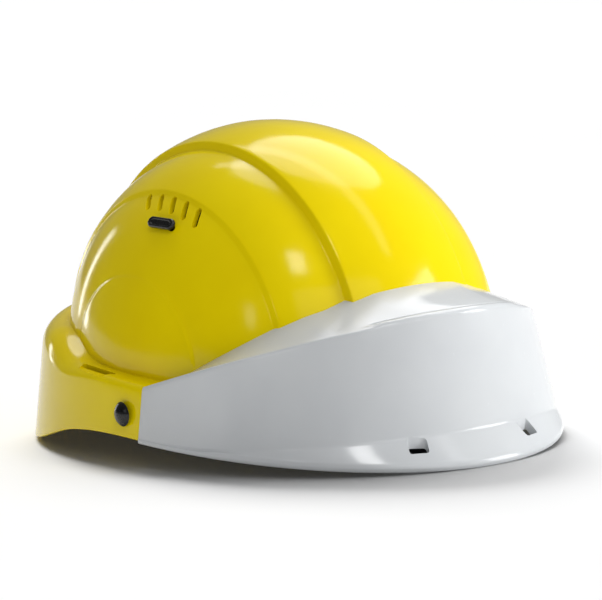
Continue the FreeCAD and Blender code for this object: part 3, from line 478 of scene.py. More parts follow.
SIDE = 100.5  # the dome's half width and height; STRETCH makes it longer than high
RISE = 115.6
STRETCH = 1.09
WALL = 2.8
CREST = 35.0  # half widths at which the bands end
TERRACE = 65.7
FLANK = 89.7
STEP_ROUND = 0.75
DOME_TURNS = 192
SHARP = 30.0


def slice_radius(x):
    return RISE * math.sqrt(max(0.0, 1 - (x / SIDE) ** 2))


# Start and end as (x, radius), how far the arc bulges, and its steps.
BANDS = (((0.0, RISE), (CREST, slice_radius(CREST)), 1.75, 14),
         ((CREST + 1.0, slice_radius(CREST) - 4.4), (TERRACE, slice_radius(TERRACE)), 1.9, 12),
         ((TERRACE + 1.0, slice_radius(TERRACE) - 2.8), (FLANK, slice_radius(FLANK) - 4.5), 3.2, 12),
         ((FLANK + 1.0, slice_radius(FLANK) - 5.9), (SIDE, 0.0), 2.2, 20))


def band_arc(start, end, bulge):
    """Centre and radius of the arc joining two points of the dome's section."""
    chord = math.hypot(end[0] - start[0], end[1] - start[1])
    radius = (chord ** 2 / 4 + bulge ** 2) / (2 * bulge)
    across = ((start[1] - end[1]) / chord, (end[0] - start[0]) / chord)
    back = radius - bulge
    return (start[0] + end[0]) / 2 - across[0] * back, (start[1] + end[1]) / 2 - across[1] * back, radius


def dome_section(inset):
    """Half of the dome's section from crest to side, as (x, radius), with rounded steps."""
    corners = []
    for number, (start, end, bulge, steps) in enumerate(BANDS):
        centre_x, centre_r, radius = band_arc(start, end, bulge)
        radius -= inset
        last = number == len(BANDS) - 1
        low_x = start[0] - inset if number else 0.0
        high_x = centre_x + math.sqrt(radius ** 2 - centre_r ** 2) if last else end[0] - inset
        turns = []
        for x in (low_x, high_x):
            height = 0.0 if last and x == high_x else centre_r + math.sqrt(radius ** 2 - (x - centre_x) ** 2)
            turns.append(math.atan2(height - centre_r, x - centre_x))
        for step in range(steps + 1):
            turn = mix(turns[0], turns[1], step / steps)
            at = Vector((centre_x + radius * math.cos(turn), centre_r + radius * math.sin(turn)))
            edge = (step == 0 and number) or (step == steps and not last)
            corners.append((at, STEP_ROUND if edge else 0.0, 4))
    corners[0] = (Vector((0.0, corners[0][0].y)), 0.0, 0)
    corners[-1] = (Vector((corners[-1][0].x, 0.0)), 0.0, 0)
    return rounded(corners, closed=False)


def dome_point(x, radius, turn):
    return Vector((x, DOME_Y - STRETCH * radius * math.cos(turn), DOME_Z + radius * math.sin(turn)))


def make_dome():
    """The stepped dome as a closed wall down to the ledge's level."""
    skins = []
    for inset in (0.0, WALL):
        half = dome_section(inset)
        section = [Vector((-p.x, p.y)) for p in reversed(half[1:])] + half
        skins.append(section)
    columns = len(skins[0])
    points = []
    for section in skins:
        for row in range(DOME_TURNS + 1):
            points += [dome_point(p.x, p.y, math.pi * row / DOME_TURNS) for p in section]
    per_skin = columns * (DOME_TURNS + 1)
    faces = quads(DOME_TURNS + 1, columns)
    faces += [tuple(index + per_skin for index in reversed(face)) for face in faces]
    for row in (0, DOME_TURNS):
        for column in range(columns - 1):
            first = row * columns + column
            faces.append((first, first + 1, first + 1 + per_skin, first + per_skin))
    return piece("dome", points, faces, YELLOW)


FRONT_REACH = 165.8
REAR_REACH = 153.4
REAR_LEAN = 0.13  # millimetres inward for each one up, here and in the two pairs below
SIDE_AHEAD = (115.9, 0.101)
SIDE_BEHIND = (117.7, 0.06)


def outline(turn, z, inset):
    """A point of the skirt's outer wall: turn 0 is the rear, and the wall leans out downward."""
    flare = ease(math.cos(turn), -0.2, 0.6)
    side = mix(SIDE_AHEAD[0] - SIDE_AHEAD[1] * z, SIDE_BEHIND[0] - SIDE_BEHIND[1] * z, flare) - inset
    rear = REAR_REACH - REAR_LEAN * z - inset
    reach = rear if math.cos(turn) > 0 else FRONT_REACH - inset
    return Vector((side * math.sin(turn), reach * math.cos(turn), z))


# The skirt's lower edge: y from the seam to the nape, and its height there.
NAPE_LINE = ((-40.0, 1.3), (-14.0, 1.2), (5.0, 0.2), (20.0, -1.6), (37.0, -5.0), (57.0, -11.4),
             (82.0, -19.6), (110.0, -25.8), (142.0, -29.9), (162.0, -31.4))


def nape_level(y):
    """Height of the skirt's lower edge, by a smooth run through NAPE_LINE."""
    for index, (low, high) in enumerate(zip(NAPE_LINE, NAPE_LINE[1:])):
        if y <= high[0]:
            break
    before = NAPE_LINE[max(0, index - 1)]
    after = NAPE_LINE[min(len(NAPE_LINE) - 1, index + 2)]
    run = high[0] - low[0]
    part = min(1.0, max(0.0, (y - low[0]) / run))
    first = (high[1] - before[1]) / max(1.0, high[0] - before[0]) * run
    second = (after[1] - low[1]) / max(1.0, after[0] - low[0]) * run
    square = part * part
    cube = square * part
    return ((2 * cube - 3 * square + 1) * low[1] + (cube - 2 * square + part) * first
            + (3 * square - 2 * cube) * high[1] + (cube - square) * second)


LEDGE = 28.5
LEDGE_CLIMB = 8.5
LEDGE_SIDE = 97.7  # the ledge's inner edge, just under the dome's skin
LEDGE_REAR = 121.0
LEDGE_FRONT = 123.2
LEDGE_ARC = 10
SKIRT = 2.6
SEAM_GAP = 0.15
STATIONS = 120


def on_outline(share, z, inset):
    """A point of the skirt with every station's ends on the seam's plane."""
    limit = math.pi - math.acos(-(SEAM + SEAM_GAP) / (FRONT_REACH - inset))
    return outline(limit * share, z, inset)


def ledge_level(y):
    """The ledge is level beside the slots and climbs behind them."""
    return LEDGE + LEDGE_CLIMB * ease(y, 38.0, 92.0)


def skirt_loop(share):
    """Section of ledge and skirt at one station, from -1 on the right seam to 1 on the left."""
    foot = on_outline(share, 0.0, 0.0)
    low = nape_level(foot.y)
    ledge = ledge_level(foot.y)
    radius = mix(3.0, 11.0, ease(foot.y, 0.0, 85.0))
    limit = math.acos((SEAM - DOME_Y) / LEDGE_FRONT)
    inner = Vector((LEDGE_SIDE * math.sin(limit * share), 0.0, 0.0))
    reach = LEDGE_REAR if math.cos(limit * share) > 0 else LEDGE_FRONT
    inner.y = DOME_Y + reach * math.cos(limit * share)
    corners = [(Vector((inner.x, inner.y, ledge)), 0.0, 0)]
    for step in range(LEDGE_ARC + 1):
        turn = math.pi / 2 * step / LEDGE_ARC
        z = ledge - radius * (1 - math.cos(turn))
        corners.append((on_outline(share, z, radius * (1 - math.sin(turn))), 0.0, 0))
    for part in (0.25, 0.5, 0.75):
        z = mix(ledge - radius, low, part)
        corners.append((on_outline(share, z, 0.0), 0.0, 0))
    for z, inset, setback, steps in ((low, 0.0, 1.0, 4), (low, SKIRT, 0.8, 3),
                                     (ledge - SKIRT - radius * 0.6, SKIRT, 0.0, 0),
                                     (ledge - SKIRT, SKIRT + radius * 0.6, 0.0, 0)):
        corners.append((on_outline(share, z, inset), setback, steps))
    corners.append((Vector((inner.x, inner.y, ledge - SKIRT)), 0.6, 2))
    return rounded(corners)


def make_skirt():
    loops = [skirt_loop(index / STATIONS) for index in range(-STATIONS, STATIONS + 1)]
    return loft("skirt", loops, YELLOW)


BROW_TURN = math.radians(105.0)
BROW_STATIONS = 60
BROW_TOP = 27.9
BROW_FOOT = 4.0
BROW_INSET = 0.1


def make_brow():
    """Wall behind the casing that carries the dome's front down."""
    loops = []
    for index in range(-BROW_STATIONS, BROW_STATIONS + 1):
        turn = BROW_TURN * index / BROW_STATIONS
        loop = []
        for inset, z in ((BROW_INSET, BROW_TOP), (BROW_INSET, BROW_FOOT), (WALL, BROW_FOOT),
                         (WALL, BROW_TOP)):
            across = (SIDE - inset) * math.sin(turn)
            ahead = (RISE * STRETCH - inset) * math.cos(turn)
            loop.append((Vector((across, DOME_Y - ahead, z)), 0.7 if z == BROW_FOOT else 0.0, 3))
        loops.append(rounded(loop))
    return loft("brow", loops, YELLOW)


def terrace_frame(side, x, y):
    """A point of the third band, with the directions outward, down its slope and forward along it."""
    start, end, bulge, _ = BANDS[2]
    centre_x, centre_r, curve = band_arc(start, end, bulge)
    radius = centre_r + math.sqrt(curve ** 2 - (x - centre_x) ** 2)
    slope = Vector((end[0] - start[0], 0.0, end[1] - start[1])).normalized()
    lift = math.asin((y - DOME_Y) / STRETCH / radius)
    spin = Matrix.Rotation(-lift, 3, "X")
    outward = spin @ Vector((-slope.z, 0.0, slope.x))
    down = spin @ slope
    point = Vector((side * x, y, DOME_Z + radius * math.cos(lift)))
    outward.x *= side
    down.x *= side
    forward = outward.cross(down)
    if forward.y > 0:
        forward = -forward
    return point, outward, down, forward.normalized()


def stadium(length, width, steps=10):
    """Outline of a round-ended slot, as pairs along and across."""
    made = []
    for end in (1, -1):
        for step in range(steps + 1):
            turn = math.pi * step / steps - math.pi / 2
            made.append((end * ((length - width) / 2 + math.cos(turn) * width / 2),
                         end * math.sin(turn) * width / 2))
    return made


def prism(name, shape, point, along, across, out, low, high):
    """A straight cutter over a flat outline."""
    loops = []
    for height in (low, high):
        loops.append([point + along * a + across * c + out * height for a, c in shape])
    return loft(name, loops, YELLOW)


VENTS = 5
VENT_X = 70.0
VENT_Y = 27.5
VENT_PITCH = 10.5
VENT_TURN = math.radians(-35.0)
KNOB_X = 77.2
KNOB_Y = 3.4
SLOT_Y = KNOB_Y - 2.13
THROUGH = 6  # past the dome's wall on both sides


def vent_cutters():
    """The row of slanting vents on each side and the slot that the shutter's stem runs in."""
    cutters = []
    for side in (-1, 1):
        for index in range(VENTS):
            point, out, down, _ = terrace_frame(side, VENT_X, VENT_Y - VENT_PITCH * index)
            along = Matrix.Rotation(VENT_TURN * side, 3, out) @ down
            across = out.cross(along)
            cutters.append(prism("vent", stadium(11.5, 3.2), point, along, across, out, -THROUGH, THROUGH))
        point, out, _, forward = terrace_frame(side, KNOB_X, SLOT_Y)
        across = out.cross(forward)
        cutters.append(prism("slot", stadium(13.2, 3.4), point, forward, across, out, -THROUGH, THROUGH))
    return cutters


ACCESSORY_X = 106.6
ACCESSORY_Y = 19.0
RECESS_X = 107.3
RECESS_DEPTH = 1.3
RECESS = ((-12.5, 0.0), (12.5, 0.0), (12.5, 17.7), (-12.5, 17.7))


def ledge_cutters():
    """Accessory slots with the recesses beside them."""
    cutters = []
    back = Vector((0, 1, 0))
    up = Vector((0, 0, 1))
    for side in (-1, 1):
        middle = Vector((side * ACCESSORY_X, ACCESSORY_Y, LEDGE))
        cutters.append(prism("slot", stadium(28.0, 2.6), middle, back, Vector((1, 0, 0)), up, -8, 3))
        edge = Vector((side * RECESS_X, ACCESSORY_Y, LEDGE))
        cutters.append(prism("recess", RECESS, edge, back, Vector((side, 0, 0)), up, -RECESS_DEPTH, 4))
    return cutters


def make_shell():
    dome = make_dome()
    carve(dome, vent_cutters(), SHARP)
    skirt = make_skirt()
    for cutter in ledge_cutters():
        carve(skirt, [cutter], SHARP)
    brow = make_brow()
    shell = joined("shell_moulding", [dome, skirt, brow])
    smooth(shell, SHARP)
    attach(shell, "hat")
    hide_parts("shell")


make_shell()


# ---- shutter knobs ----

KNOB_OUTLINE = ((-9.6, -1.3), (-7.6, -2.9), (7.6, -2.9), (9.6, -1.3), (9.6, 1.1), (7.8, 2.8), (-7.8, 2.8),
                (-9.6, 1.1))
# Height over the shell, and the shares of the outline's length and width there.
KNOB_LEVELS = ((0.6, 0.95, 0.93), (0.9, 1.0, 1.0), (2.2, 1.0, 1.0), (2.75, 0.96, 0.9), (3.05, 0.88, 0.72),
               (3.0, 0.82, 0.6), (2.5, 0.76, 0.44))
KNOB_TURN = math.radians(9.0)
KNOB_LIFT = 0.5
KNOB_SHARP = 40.0
STEM_FOOT = -5.1
STEM_TOP = 0.9


def make_knob(side, name):
    """A bevelled slider with a finger dish, on the stem that runs through the shell's slot."""
    point, out, _, forward = terrace_frame(side, KNOB_X, KNOB_Y)
    point = point + out * KNOB_LIFT
    along = Matrix.Rotation(KNOB_TURN * -side, 3, out) @ forward
    across = out.cross(along)
    shape = rounded([(Vector((a, c, 0.0)), 0.7, 3) for a, c in KNOB_OUTLINE])
    loops = [[point + along * p.x * long + across * p.y * wide + out * level for p in shape]
             for level, long, wide in KNOB_LEVELS]
    cap = loft("cap", loops, BLACK, KNOB_SHARP)
    across = out.cross(forward)
    stem = prism("stem", stadium(6.0, 2.6), point, forward, across, out, STEM_FOOT, STEM_TOP)
    knob = joined("slider_" + name, [cap, stem])
    smooth(knob, KNOB_SHARP)
    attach(knob, "shutter_" + name)
    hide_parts("shutter_knob_" + name)


make_knob(-1, "right")
make_knob(1, "left")


# ---- front casing ----

DOME_HALF = dome_section(0.0)
RAIL = 100
RAIL_END = 96.6
RAIL_BOW = math.radians(82.0)
ROOT_DROP = 26.92  # the rail's plane on the dome: how far down, its length factor and its turn
ROOT_SPAN = 1.2646
ROOT_TURN = math.radians(37.74)
ROOT_DEPTH = 0.8
STEP_REACH = 1.4
SKIN_END = 97.0


def section_radius(x):
    """Dome radius at x, read from the rounded section."""
    for first, second in zip(DOME_HALF, DOME_HALF[1:]):
        if first.x <= x <= second.x and second.x > first.x:
            return mix(first.y, second.y, (x - first.x) / (second.x - first.x))
    return DOME_HALF[-1].y


def inside_skin(edge, target):
    """The point ROOT_DEPTH under the dome's skin on the line from the shelf's edge to a target."""
    near = 0.3
    far = 1.5
    for _ in range(26):
        part = (near + far) / 2
        point = edge.lerp(target, part)
        least = min(section_radius(min(abs(abs(point.x) + shift), SKIN_END))
                    for shift in (-STEP_REACH, 0.0, STEP_REACH))
        if least - math.hypot((point.y - DOME_Y) / STRETCH, point.z - DOME_Z) < ROOT_DEPTH:
            near = part
        else:
            far = part
    return edge.lerp(target, far)


def smooth_radius(x):
    """Dome radius with its steps averaged out."""
    span = [abs(x + shift) for shift in range(-10, 11, 2)]
    return sum(section_radius(min(near, RAIL_END)) for near in span) / len(span)


def dome_rail(share, depth):
    """Where the casing meets the smoothed dome, that depth under it."""
    x = RAIL_END * math.sin(RAIL_BOW * abs(share)) / math.sin(RAIL_BOW)
    radius = smooth_radius(x) - depth
    lift = -ROOT_DROP / radius / ROOT_SPAN
    turn = ROOT_TURN + math.asin(max(-1.0, lift))
    return dome_point(math.copysign(x, share), radius, max(turn, 0.0))


# Half width and front reach of the casing's corner curves, and their swell.
SHELF_EDGE = (113.6, 142.6)
SHELF_SWELL = -0.035
JOINT_SIDE = 115.3
JOINT_SEAM = 115.95
JOINT_FRONT = 150.4
JOINT_SWELL = 0.03
BRIM_TOP = (115.85, 165.0)
BRIM_EDGE = (116.0, FRONT_REACH)
BRIM_FOOT = (115.7, 165.2)
BRIM_INNER_FOOT = (115.3 - SKIRT, 161.4)
BRIM_INNER_TOP = (115.2 - SKIRT, 160.2)
# The groove and lip near the shelf's edge: how far in, how high, and the rounding.
LIP = ((7.4, 0.0, 0.0), (6.3, -0.1, 0.5), (5.7, -1.0, 0.4), (4.6, -1.0, 0.4), (4.0, 0.75, 0.5),
       (2.2, 0.9, 0.7))
LIP_START = 9.0
LIP_FADE = (38.0, 47.0)
SEAM_LEVEL = 28.4


def rail(share, side, reach, level, swell=0.0):
    """A point of one of the casing's corner curves; swell widens it between front and side."""
    turn = math.acos(-SEAM / reach) * share
    grow = 1 + swell * math.sin(2 * turn) ** 2 * (1 - ease(abs(share), 0.55, 0.85))
    forward = reach * math.cos(turn) * grow
    return Vector((side * math.sin(turn) * grow, -forward, level(forward)))


def shelf_level(forward):
    return 28.3 + 0.385 * (forward + SEAM)


def joint_level(forward):
    return 2.6 + 12.6 * max(0.0, (forward - 62.0) / 88.4) ** 1.2


def rim_level(forward):
    return min(4.0, joint_level(forward) - 0.5)


def casing_loop(share):
    """Section of shelf, wall and brim at one station."""
    front = abs(share)
    edge = rail(share, *SHELF_EDGE, shelf_level, SHELF_SWELL)
    root = inside_skin(edge, dome_rail(share, 1.3))
    if front > 0.9:
        seam_root = Vector((root.x, SEAM, SEAM_LEVEL))
        root = root.lerp(seam_root, ease(front, 0.9, 1.0))
    corners = [(root, 0.0, 0)]
    run = edge - root
    unit = run.normalized()
    lip = 1.0 - ease(abs(edge.x), *LIP_FADE)
    for part in (0.2, 0.4, 0.6, 0.8):
        corners.append((root + run * part * (1 - LIP_START / run.length), 0.0, 0))
    for away, height, setback in LIP:
        lift = height * lip
        corners.append((edge - unit * away + Vector((0, 0, lift)), setback, 3))
    corners.append((edge, mix(1.3, 2.6, ease(front, 0.35, 0.9)), 5))
    joint_side = mix(JOINT_SIDE, JOINT_SEAM, ease(front, 0.7, 0.92))
    joint = rail(share, joint_side, JOINT_FRONT, joint_level, JOINT_SWELL)
    for part in (0.25, 0.5, 0.75):
        corners.append((edge.lerp(joint, part), 0.0, 0))
    corners.append((joint, 1.2, 4))
    top = rail(share, *BRIM_TOP, rim_level)
    corners.append((joint.lerp(top, 0.5), 0.0, 0))
    corners.append((top, 1.0, 4))
    for size, level, setback, steps in ((BRIM_EDGE, 0.5, 0.6, 3), (BRIM_FOOT, 0.0, 0.5, 3),
                                        (BRIM_INNER_FOOT, 0.0, 0.5, 3), (BRIM_INNER_TOP, 0.45, 0.5, 2)):
        corners.append((rail(share, *size, lambda forward: rim_level(forward) * level), setback, steps))
    low_joint = rail(share, JOINT_SIDE - SKIRT, JOINT_FRONT - SKIRT,
                     lambda forward: joint_level(forward) - SKIRT * 0.8, JOINT_SWELL)
    corners.append((low_joint, 0.8, 3))
    low_edge = rail(share, SHELF_EDGE[0] - SKIRT, SHELF_EDGE[1] - SKIRT,
                    lambda forward: shelf_level(forward) - SKIRT, SHELF_SWELL)
    corners.append((low_edge, 1.2, 3))
    corners.append((root - Vector((0, 0, SKIRT * 0.65)), 0.0, 0))
    return rounded(corners)


HOLE_TURN = math.radians(22.0)
HOLE_HALF = (5.0, 3.4)
HOLE_ROUND = 1.6
HOLE_X = 33.5
HOLE_Y = -149.0


def hole_cutters():
    """The two round-cornered holes through the brim's top."""
    cutters = []
    for side in (-1, 1):
        turn = HOLE_TURN * side
        along = Vector((math.cos(turn), math.sin(turn), 0.0))
        across = Vector((-math.sin(turn), math.cos(turn), 0.0))
        corners = []
        for a, c in ((-1, -1), (1, -1), (1, 1), (-1, 1)):
            corners.append((Vector((a * HOLE_HALF[0], c * HOLE_HALF[1], 0)), HOLE_ROUND, 4))
        shape = [(p.x, p.y) for p in rounded(corners)]
        middle = Vector((side * HOLE_X, HOLE_Y, 0.0))
        cutters.append(prism("hole", shape, middle, along, across, Vector((0, 0, 1)), -5, 30))
    return cutters


def make_casing():
    loops = [casing_loop(index / RAIL) for index in range(-RAIL, RAIL + 1)]
    casing = loft("front_casing_moulding", loops, WHITE)
    carve(casing, hole_cutters(), SHARP)
    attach(casing, "hat")
    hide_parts("front_casing")


make_casing()


# ---- pads, webbing and stitches ----

PRESSURE = 4.0
SWELL_FRAMES = 20
STITCH_PITCH = 2.9
STITCH_GAP = 1.0
THREAD_HALF = 0.28
THREAD_RISE = 0.24


def body_named(node):
    """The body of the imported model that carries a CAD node."""
    for name, nodes in frame["record"]["behaviour"]["bodies"].items():
        if node in nodes:
            return name
    raise ValueError(node)


def pad_from(node, name, voxel, inward, cap):
    """A stuffed copy of a CAD pad: remeshed, shrunk, and swollen by cloth pressure by at most cap."""
    source = NODES[node]
    mesh = source.data.copy()
    mesh.transform(source.matrix_world)
    pad = placed(name, mesh)
    mesh.materials.clear()
    mesh.materials.append(FOAM)
    mend(mesh, PAD_WELD)
    remesh = pad.modifiers.new("remesh", "REMESH")
    remesh.mode = "VOXEL"
    remesh.voxel_size = voxel * MM
    apply_modifiers(pad)
    work = bmesh.new()
    work.from_mesh(pad.data)
    for _ in range(2):
        bmesh.ops.smooth_vert(work, verts=work.verts, factor=0.5, use_axis_x=True, use_axis_y=True,
                              use_axis_z=True)
    work.normal_update()
    for vert in work.verts:
        vert.co -= vert.normal * inward * MM
    work.to_mesh(pad.data)
    work.free()
    start = [vert.co.copy() for vert in pad.data.vertices]
    cloth = pad.modifiers.new("cloth", "CLOTH")
    cloth.settings.use_pressure = True
    cloth.settings.uniform_pressure_force = PRESSURE
    cloth.settings.effector_weights.gravity = 0.0
    for step in range(1, SWELL_FRAMES + 1):
        bpy.context.scene.frame_set(step)
    graph = bpy.context.evaluated_depsgraph_get()
    shape = pad.evaluated_get(graph).data
    swollen = [vert.co.copy() for vert in shape.vertices]
    pad.modifiers.clear()
    bpy.context.scene.frame_set(1)
    for vert, low, high in zip(pad.data.vertices, start, swollen):
        run = high - low
        reach = min(run.length, cap * MM)
        vert.co = low + run.normalized() * reach
    divide = pad.modifiers.new("divide", "SUBSURF")
    divide.levels = divide.render_levels = 1
    apply_modifiers(pad)
    pad.data.shade_smooth()
    return pad


def seam_dip(pad, distance, depth, width):
    """Pulls the cloth in along sewn lines; distance gives millimetres from the nearest line."""
    normals = [vert.normal.copy() for vert in pad.data.vertices]
    for vert, normal in zip(pad.data.vertices, normals):
        near = distance(BACK @ vert.co)
        if near < width:
            vert.co -= normal * depth * MM * (1 - ease(near, 0.0, width))


def thread(name, stitches, body):
    """Short raised stitches: each is (start, end, outward) in the head frame."""
    points = []
    faces = []
    for start, end, out in stitches:
        along = (end - start).normalized()
        across = along.cross(out).normalized() * THREAD_HALF
        base = len(points)
        for part, lift in ((0.0, -0.1), (0.2, 0.3), (0.8, 0.3), (1.0, -0.1)):
            centre = start.lerp(end, part) + out * lift
            rise = out * THREAD_RISE
            points += [centre + across, centre + rise, centre - across, centre - rise]
        faces += [tuple(base + index for index in face) for face in loft_faces(4, 4)]
    made = piece(name, points, faces, THREAD, 60.0)
    lay_map(made, [0.0004 * (index % 4) for index in range(len(made.data.vertices))],
            [0.0006 * (index // 4) for index in range(len(made.data.vertices))])
    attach(made, body)


def lay_map(obj, across, along):
    """Gives a strap its weave's directions, in metres, one pair a point."""
    layer = obj.data.uv_layers.new(name="strap")
    for loop in obj.data.loops:
        layer.data[loop.index].uv = (across[loop.vertex_index], along[loop.vertex_index])


def surface_at(pad, start, direction):
    """Where a line from a head-frame point first meets a piece, with the way out."""
    begin = REST @ start
    course = (REST.to_3x3() @ direction).normalized()
    hit, place, normal, _ = pad.ray_cast(begin, course)
    if not hit:
        return None
    return BACK @ place, (BACK.to_3x3() @ normal).normalized()


def sewn(pad, lines):
    """Stitches along lines of (start, direction) rays; the pad's surface gives their height."""
    stitches = []
    for line in lines:
        spots = [spot for spot in (surface_at(pad, start, course) for start, course in line) if spot]
        run = 0.0
        for (first, out), (second, _) in zip(spots, spots[1:]):
            step = (second - first).length
            if step > STITCH_PITCH * 1.5:
                continue
            run += step
            if run >= STITCH_PITCH:
                run = 0.0
                reach = (second - first).normalized() * (STITCH_PITCH - STITCH_GAP)
                stitches.append((first, first + reach, out))
    return stitches


def fan(y, level, half, count, ahead):
    """Level rays from a point of the middle plane, spread half degrees to each side."""
    rays = []
    for step in range(count):
        turn = math.radians(-half + 2 * half * step / (count - 1))
        rays.append((Vector((0.0, y, level)), Vector((math.sin(turn), -ahead * math.cos(turn), 0.0))))
    return rays


BAND_LINES = (3.2, 24.3)
BAND_COLUMN = 15.0  # degrees between the sweatband's upright seams
CROWN_RINGS = (25.0, 12.5)
CROWN_RAYS = 160
NAPE_LINES = (-3.8, 6.0, 15.8)


def make_sweatband():
    pad = pad_from("sweatband", "sweatband_pad", 1.5, 0.45, 0.8)

    def near(point):
        turn = math.degrees(math.atan2(point.x, -(point.y - 18.0)))
        column = abs((turn + BAND_COLUMN / 2) % BAND_COLUMN - BAND_COLUMN / 2)
        return min(column * 2.6, *(abs(point.z - level) for level in BAND_LINES))

    seam_dip(pad, near, 0.75, 2.2)
    body = body_named("sweatband")
    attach(pad, body)
    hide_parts("sweatband")
    lines = [fan(9.0, level, 100.0, 400, 1) for level in BAND_LINES]
    thread("sweatband_stitches", sewn(pad, lines), body)


def make_crown_pad():
    pad = pad_from("crown_pad", "crown_cushion", 1.4, 0.35, 0.9)

    def near(point):
        out = math.hypot(point.x, point.y - DOME_Y)
        return min(abs(out - radius) for radius in CROWN_RINGS)

    seam_dip(pad, near, 0.7, 2.4)
    body = body_named("crown_pad")
    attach(pad, body)
    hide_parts("crown_pad")
    lines = []
    for radius in CROWN_RINGS:
        line = []
        for step in range(CROWN_RAYS):
            turn = 2 * math.pi * step / (CROWN_RAYS - 1)
            start = Vector((radius * math.sin(turn), DOME_Y + radius * math.cos(turn), 60.0))
            line.append((start, Vector((0.0, 0.0, 1.0))))
        lines.append(line)
    thread("crown_stitches", sewn(pad, lines), body)


def make_nape_pad():
    pad = pad_from("nape_pad", "nape_cushion", 1.4, 0.4, 0.9)

    def near(point):
        return min(abs(point.z - level) for level in NAPE_LINES)

    seam_dip(pad, near, 0.7, 2.3)
    body = body_named("nape_pad")
    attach(pad, body)
    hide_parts("nape_pad")
    lines = [fan(30.0, level, 23.0, 90, -1) for level in (NAPE_LINES[0], NAPE_LINES[-1])]
    thread("nape_stitches", sewn(pad, lines), body)


def wall_reach(turn):
    """Distance from the dome's axis to its inner wall at the ledge, for a turn away from the front."""
    return 1.0 / math.hypot(math.sin(turn) / (SIDE - WALL), math.cos(turn) / (RISE * STRETCH - WALL))


FOOT = 31.4
WEB_HALF = 10.0
WEB_WALL = 1.0
WEB_ROWS = 150
WALL_GAP = 6.5
RIPPLE = 0.06
# Across and through the webbing, as shares of its half width and its thickness.
WEB_SECTION = ((-1.0, 0.5), (-0.96, 0.12), (-0.9, 0.0), (-0.5, 0.0), (0.0, 0.0), (0.5, 0.0), (0.9, 0.0),
               (0.96, 0.12), (1.0, 0.5), (0.96, 0.88), (0.9, 1.0), (0.5, 1.0), (0.0, 1.0), (-0.5, 1.0),
               (-0.9, 1.0), (-0.96, 0.88))
# The sewn box along and across the strap.
BOX_NEAR = 2.0
BOX_FAR = 15.0
BOX_HALF = 7.5
BOX_STITCH = 2.2


def make_strap(node, name, turn, top):
    """One arch of webbing, with a sewn box near each foot."""
    turn = math.radians(turn)
    reach = wall_reach(turn) - WALL_GAP
    rise = top - FOOT
    base = Vector((0.0, DOME_Y, FOOT))
    ahead = Vector((math.sin(turn), -math.cos(turn), 0.0))
    across = Vector((math.cos(turn), math.sin(turn), 0.0))
    loops = []
    wide = []
    long = []
    length = 0.0
    previous = None
    for row in range(WEB_ROWS + 1):
        angle = math.pi * row / WEB_ROWS
        spot = base + ahead * reach * math.cos(angle) + Vector((0, 0, rise * math.sin(angle)))
        out = (ahead * math.cos(angle) / reach + Vector((0, 0, math.sin(angle) / rise))).normalized()
        length += (spot - previous).length if previous else 0.0
        previous = spot
        ripple = RIPPLE * noise.noise(Vector((length * 0.05, turn * 9.0, 0.3)))
        loops.append([spot + across * WEB_HALF * a - out * WEB_WALL * b - out * ripple
                      for a, b in WEB_SECTION])
        wide += [WEB_HALF * a * MM for a, _ in WEB_SECTION]
        long += [length * MM] * len(WEB_SECTION)
    strap = loft(name, loops, WEBBING, 50.0)
    lay_map(strap, wide, long)
    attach(strap, "hat")
    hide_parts(node)
    stitches = []
    for end in (0, 1):
        def at(along, side):
            angle = (4.0 + along) / reach
            angle = math.pi - angle if end else angle
            spot = base + ahead * (reach - WEB_WALL) * math.cos(angle)
            spot += Vector((0, 0, (rise - WEB_WALL) * math.sin(angle))) + across * side
            out = -(ahead * math.cos(angle) / reach + Vector((0, 0, math.sin(angle) / rise))).normalized()
            return spot, out

        box = [(BOX_NEAR, -BOX_HALF), (BOX_NEAR, BOX_HALF), (BOX_FAR, BOX_HALF), (BOX_FAR, -BOX_HALF)]
        sides = list(zip(box, box[1:] + box[:1])) + [(box[0], box[2]), (box[3], box[1])]
        for first, second in sides:
            run = math.hypot(second[0] - first[0], second[1] - first[1])
            steps = max(1, round(run / BOX_STITCH))
            for step in range(steps):
                spots = []
                for part in (step / steps, (step + 0.7) / steps):
                    spots.append(at(mix(first[0], second[0], part), mix(first[1], second[1], part)))
                stitches.append((spots[0][0], spots[1][0], spots[0][1]))
    thread(name + "_stitches", stitches, "hat")


make_sweatband()
make_crown_pad()
make_nape_pad()
make_strap("cradle_strap_middle", "webbing_middle", 90.0, 105.2)
make_strap("cradle_strap_right", "webbing_right", -38.0, 106.6)
make_strap("cradle_strap_left", "webbing_left", 38.0, 108.0)


# ---- light and floor ----

# Name; metres near, right and up from the hat; size in metres; watts.
SOFTBOXES = (("key", (0.35, 1.6, 0.5), (0.7, 0.9), 18.5),
             ("fill", (1.6, 0.5, 0.55), (1.4, 1.0), 5.0),
             ("window", (1.2, -0.05, 1.25), (0.3, 0.36), 4.5),
             ("overhead", (-0.15, 0.3, 1.5), (2.6, 0.16), 3.2),
             ("left", (1.3, -0.92, 0.36), (0.2, 0.3), 0.7),
             ("behind", (-1.15, -1.0, 0.2), (0.1, 0.7), 1.6))


def softbox(name, away, size, power, spared):
    """A rectangular softbox that faces the hat and leaves what is in spared unlit."""
    data = bpy.data.lights.new(name, "AREA")
    data.shape = "RECTANGLE"
    data.size, data.size_y = size
    data.energy = power
    lamp = placed(name, data)
    aim = REST @ Vector((0, 0, 60.0))
    spot = aim + TURN @ (NEAR * away[0] + RIGHT * away[1] + UP * away[2])
    lamp.location = spot
    lamp.rotation_mode = "QUATERNION"
    lamp.rotation_quaternion = (aim - spot).to_track_quat("-Z", "Y")
    lamp.visible_camera = False
    lamp.light_linking.receiver_collection = spared


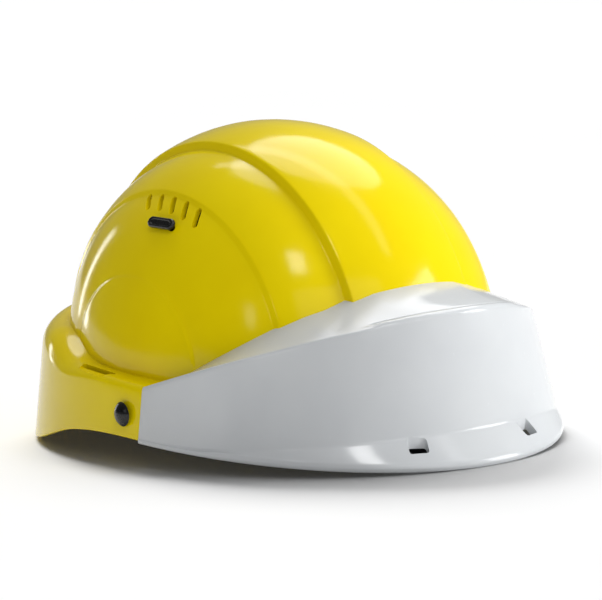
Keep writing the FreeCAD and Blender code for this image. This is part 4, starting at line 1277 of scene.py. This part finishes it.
def skylight(name, course, energy, spread, lit):
    """A broad distant light from a direction of the head frame, for what is in lit or for all."""
    data = bpy.data.lights.new(name, "SUN")
    data.energy = energy
    data.angle = math.radians(spread)
    lamp = placed(name, data)
    lamp.rotation_mode = "QUATERNION"
    lamp.rotation_quaternion = (TURN @ course).to_track_quat("Z", "Y")
    if lit:
        lamp.light_linking.receiver_collection = lit


def make_stage():
    """The paper floor, the world light, the suns and the softboxes."""
    half = 30.0
    mesh = bpy.data.meshes.new("floor")
    mesh.from_pydata([(-half, -half, 0), (half, -half, 0), (half, half, 0), (-half, half, 0)], [],
                     [(0, 1, 2, 3)])
    floor = placed("floor", mesh)
    paint = Paint("floor_paper", Specular_IOR_Level=0.1, Emission_Color=(1, 1, 1, 1), Emission_Strength=0.02)
    paint.colours(paint.noise(0.4, 2.0), (0.3, (244, 244, 244)), (0.7, (247, 247, 247)))
    paint.rough(paint.range(paint.noise(0.01), 0.3, 0.7, 0.8, 0.9))
    mesh.materials.append(paint.done())
    world = bpy.data.worlds.new("studio")
    bpy.context.scene.world = world
    world.use_nodes = True
    tree = world.node_tree
    background = tree.nodes["Background"]
    background.inputs["Color"].default_value = (1.0, 1.0, 1.0, 1.0)
    course = tree.nodes.new("ShaderNodeTexCoord")
    toward = tree.nodes.new("ShaderNodeVectorMath")
    toward.operation = "DOT_PRODUCT"
    toward.inputs[1].default_value = (TURN @ (RIGHT * 0.8 - NEAR * 0.3 + UP * 0.3)).normalized()
    glow = tree.nodes.new("ShaderNodeMapRange")
    for socket, value in (("From Min", -0.9), ("From Max", 1.0), ("To Min", 0.06), ("To Max", 0.36)):
        glow.inputs[socket].default_value = value
    tree.links.new(course.outputs["Generated"], toward.inputs[0])
    tree.links.new(toward.outputs["Value"], glow.inputs["Value"])
    tree.links.new(glow.outputs["Result"], background.inputs["Strength"])
    bpy.context.scene.view_settings.view_transform = "Standard"
    lit = bpy.data.collections.new("floor_lit")
    lit.objects.link(floor)
    skylight("sky", RIGHT * 0.1 - NEAR * 0.45 + UP, 1.35, 40.0, None)
    skylight("floor_sky", RIGHT * -0.4 - NEAR * 0.85 + UP, 2.35, 24.0, lit)
    spared = bpy.data.collections.new("spared")
    spared.objects.link(floor)
    spared.collection_objects[0].light_linking.link_state = "EXCLUDE"
    for name, away, size, power in SOFTBOXES:
        softbox(name, away, size, power, spared)


make_stage()
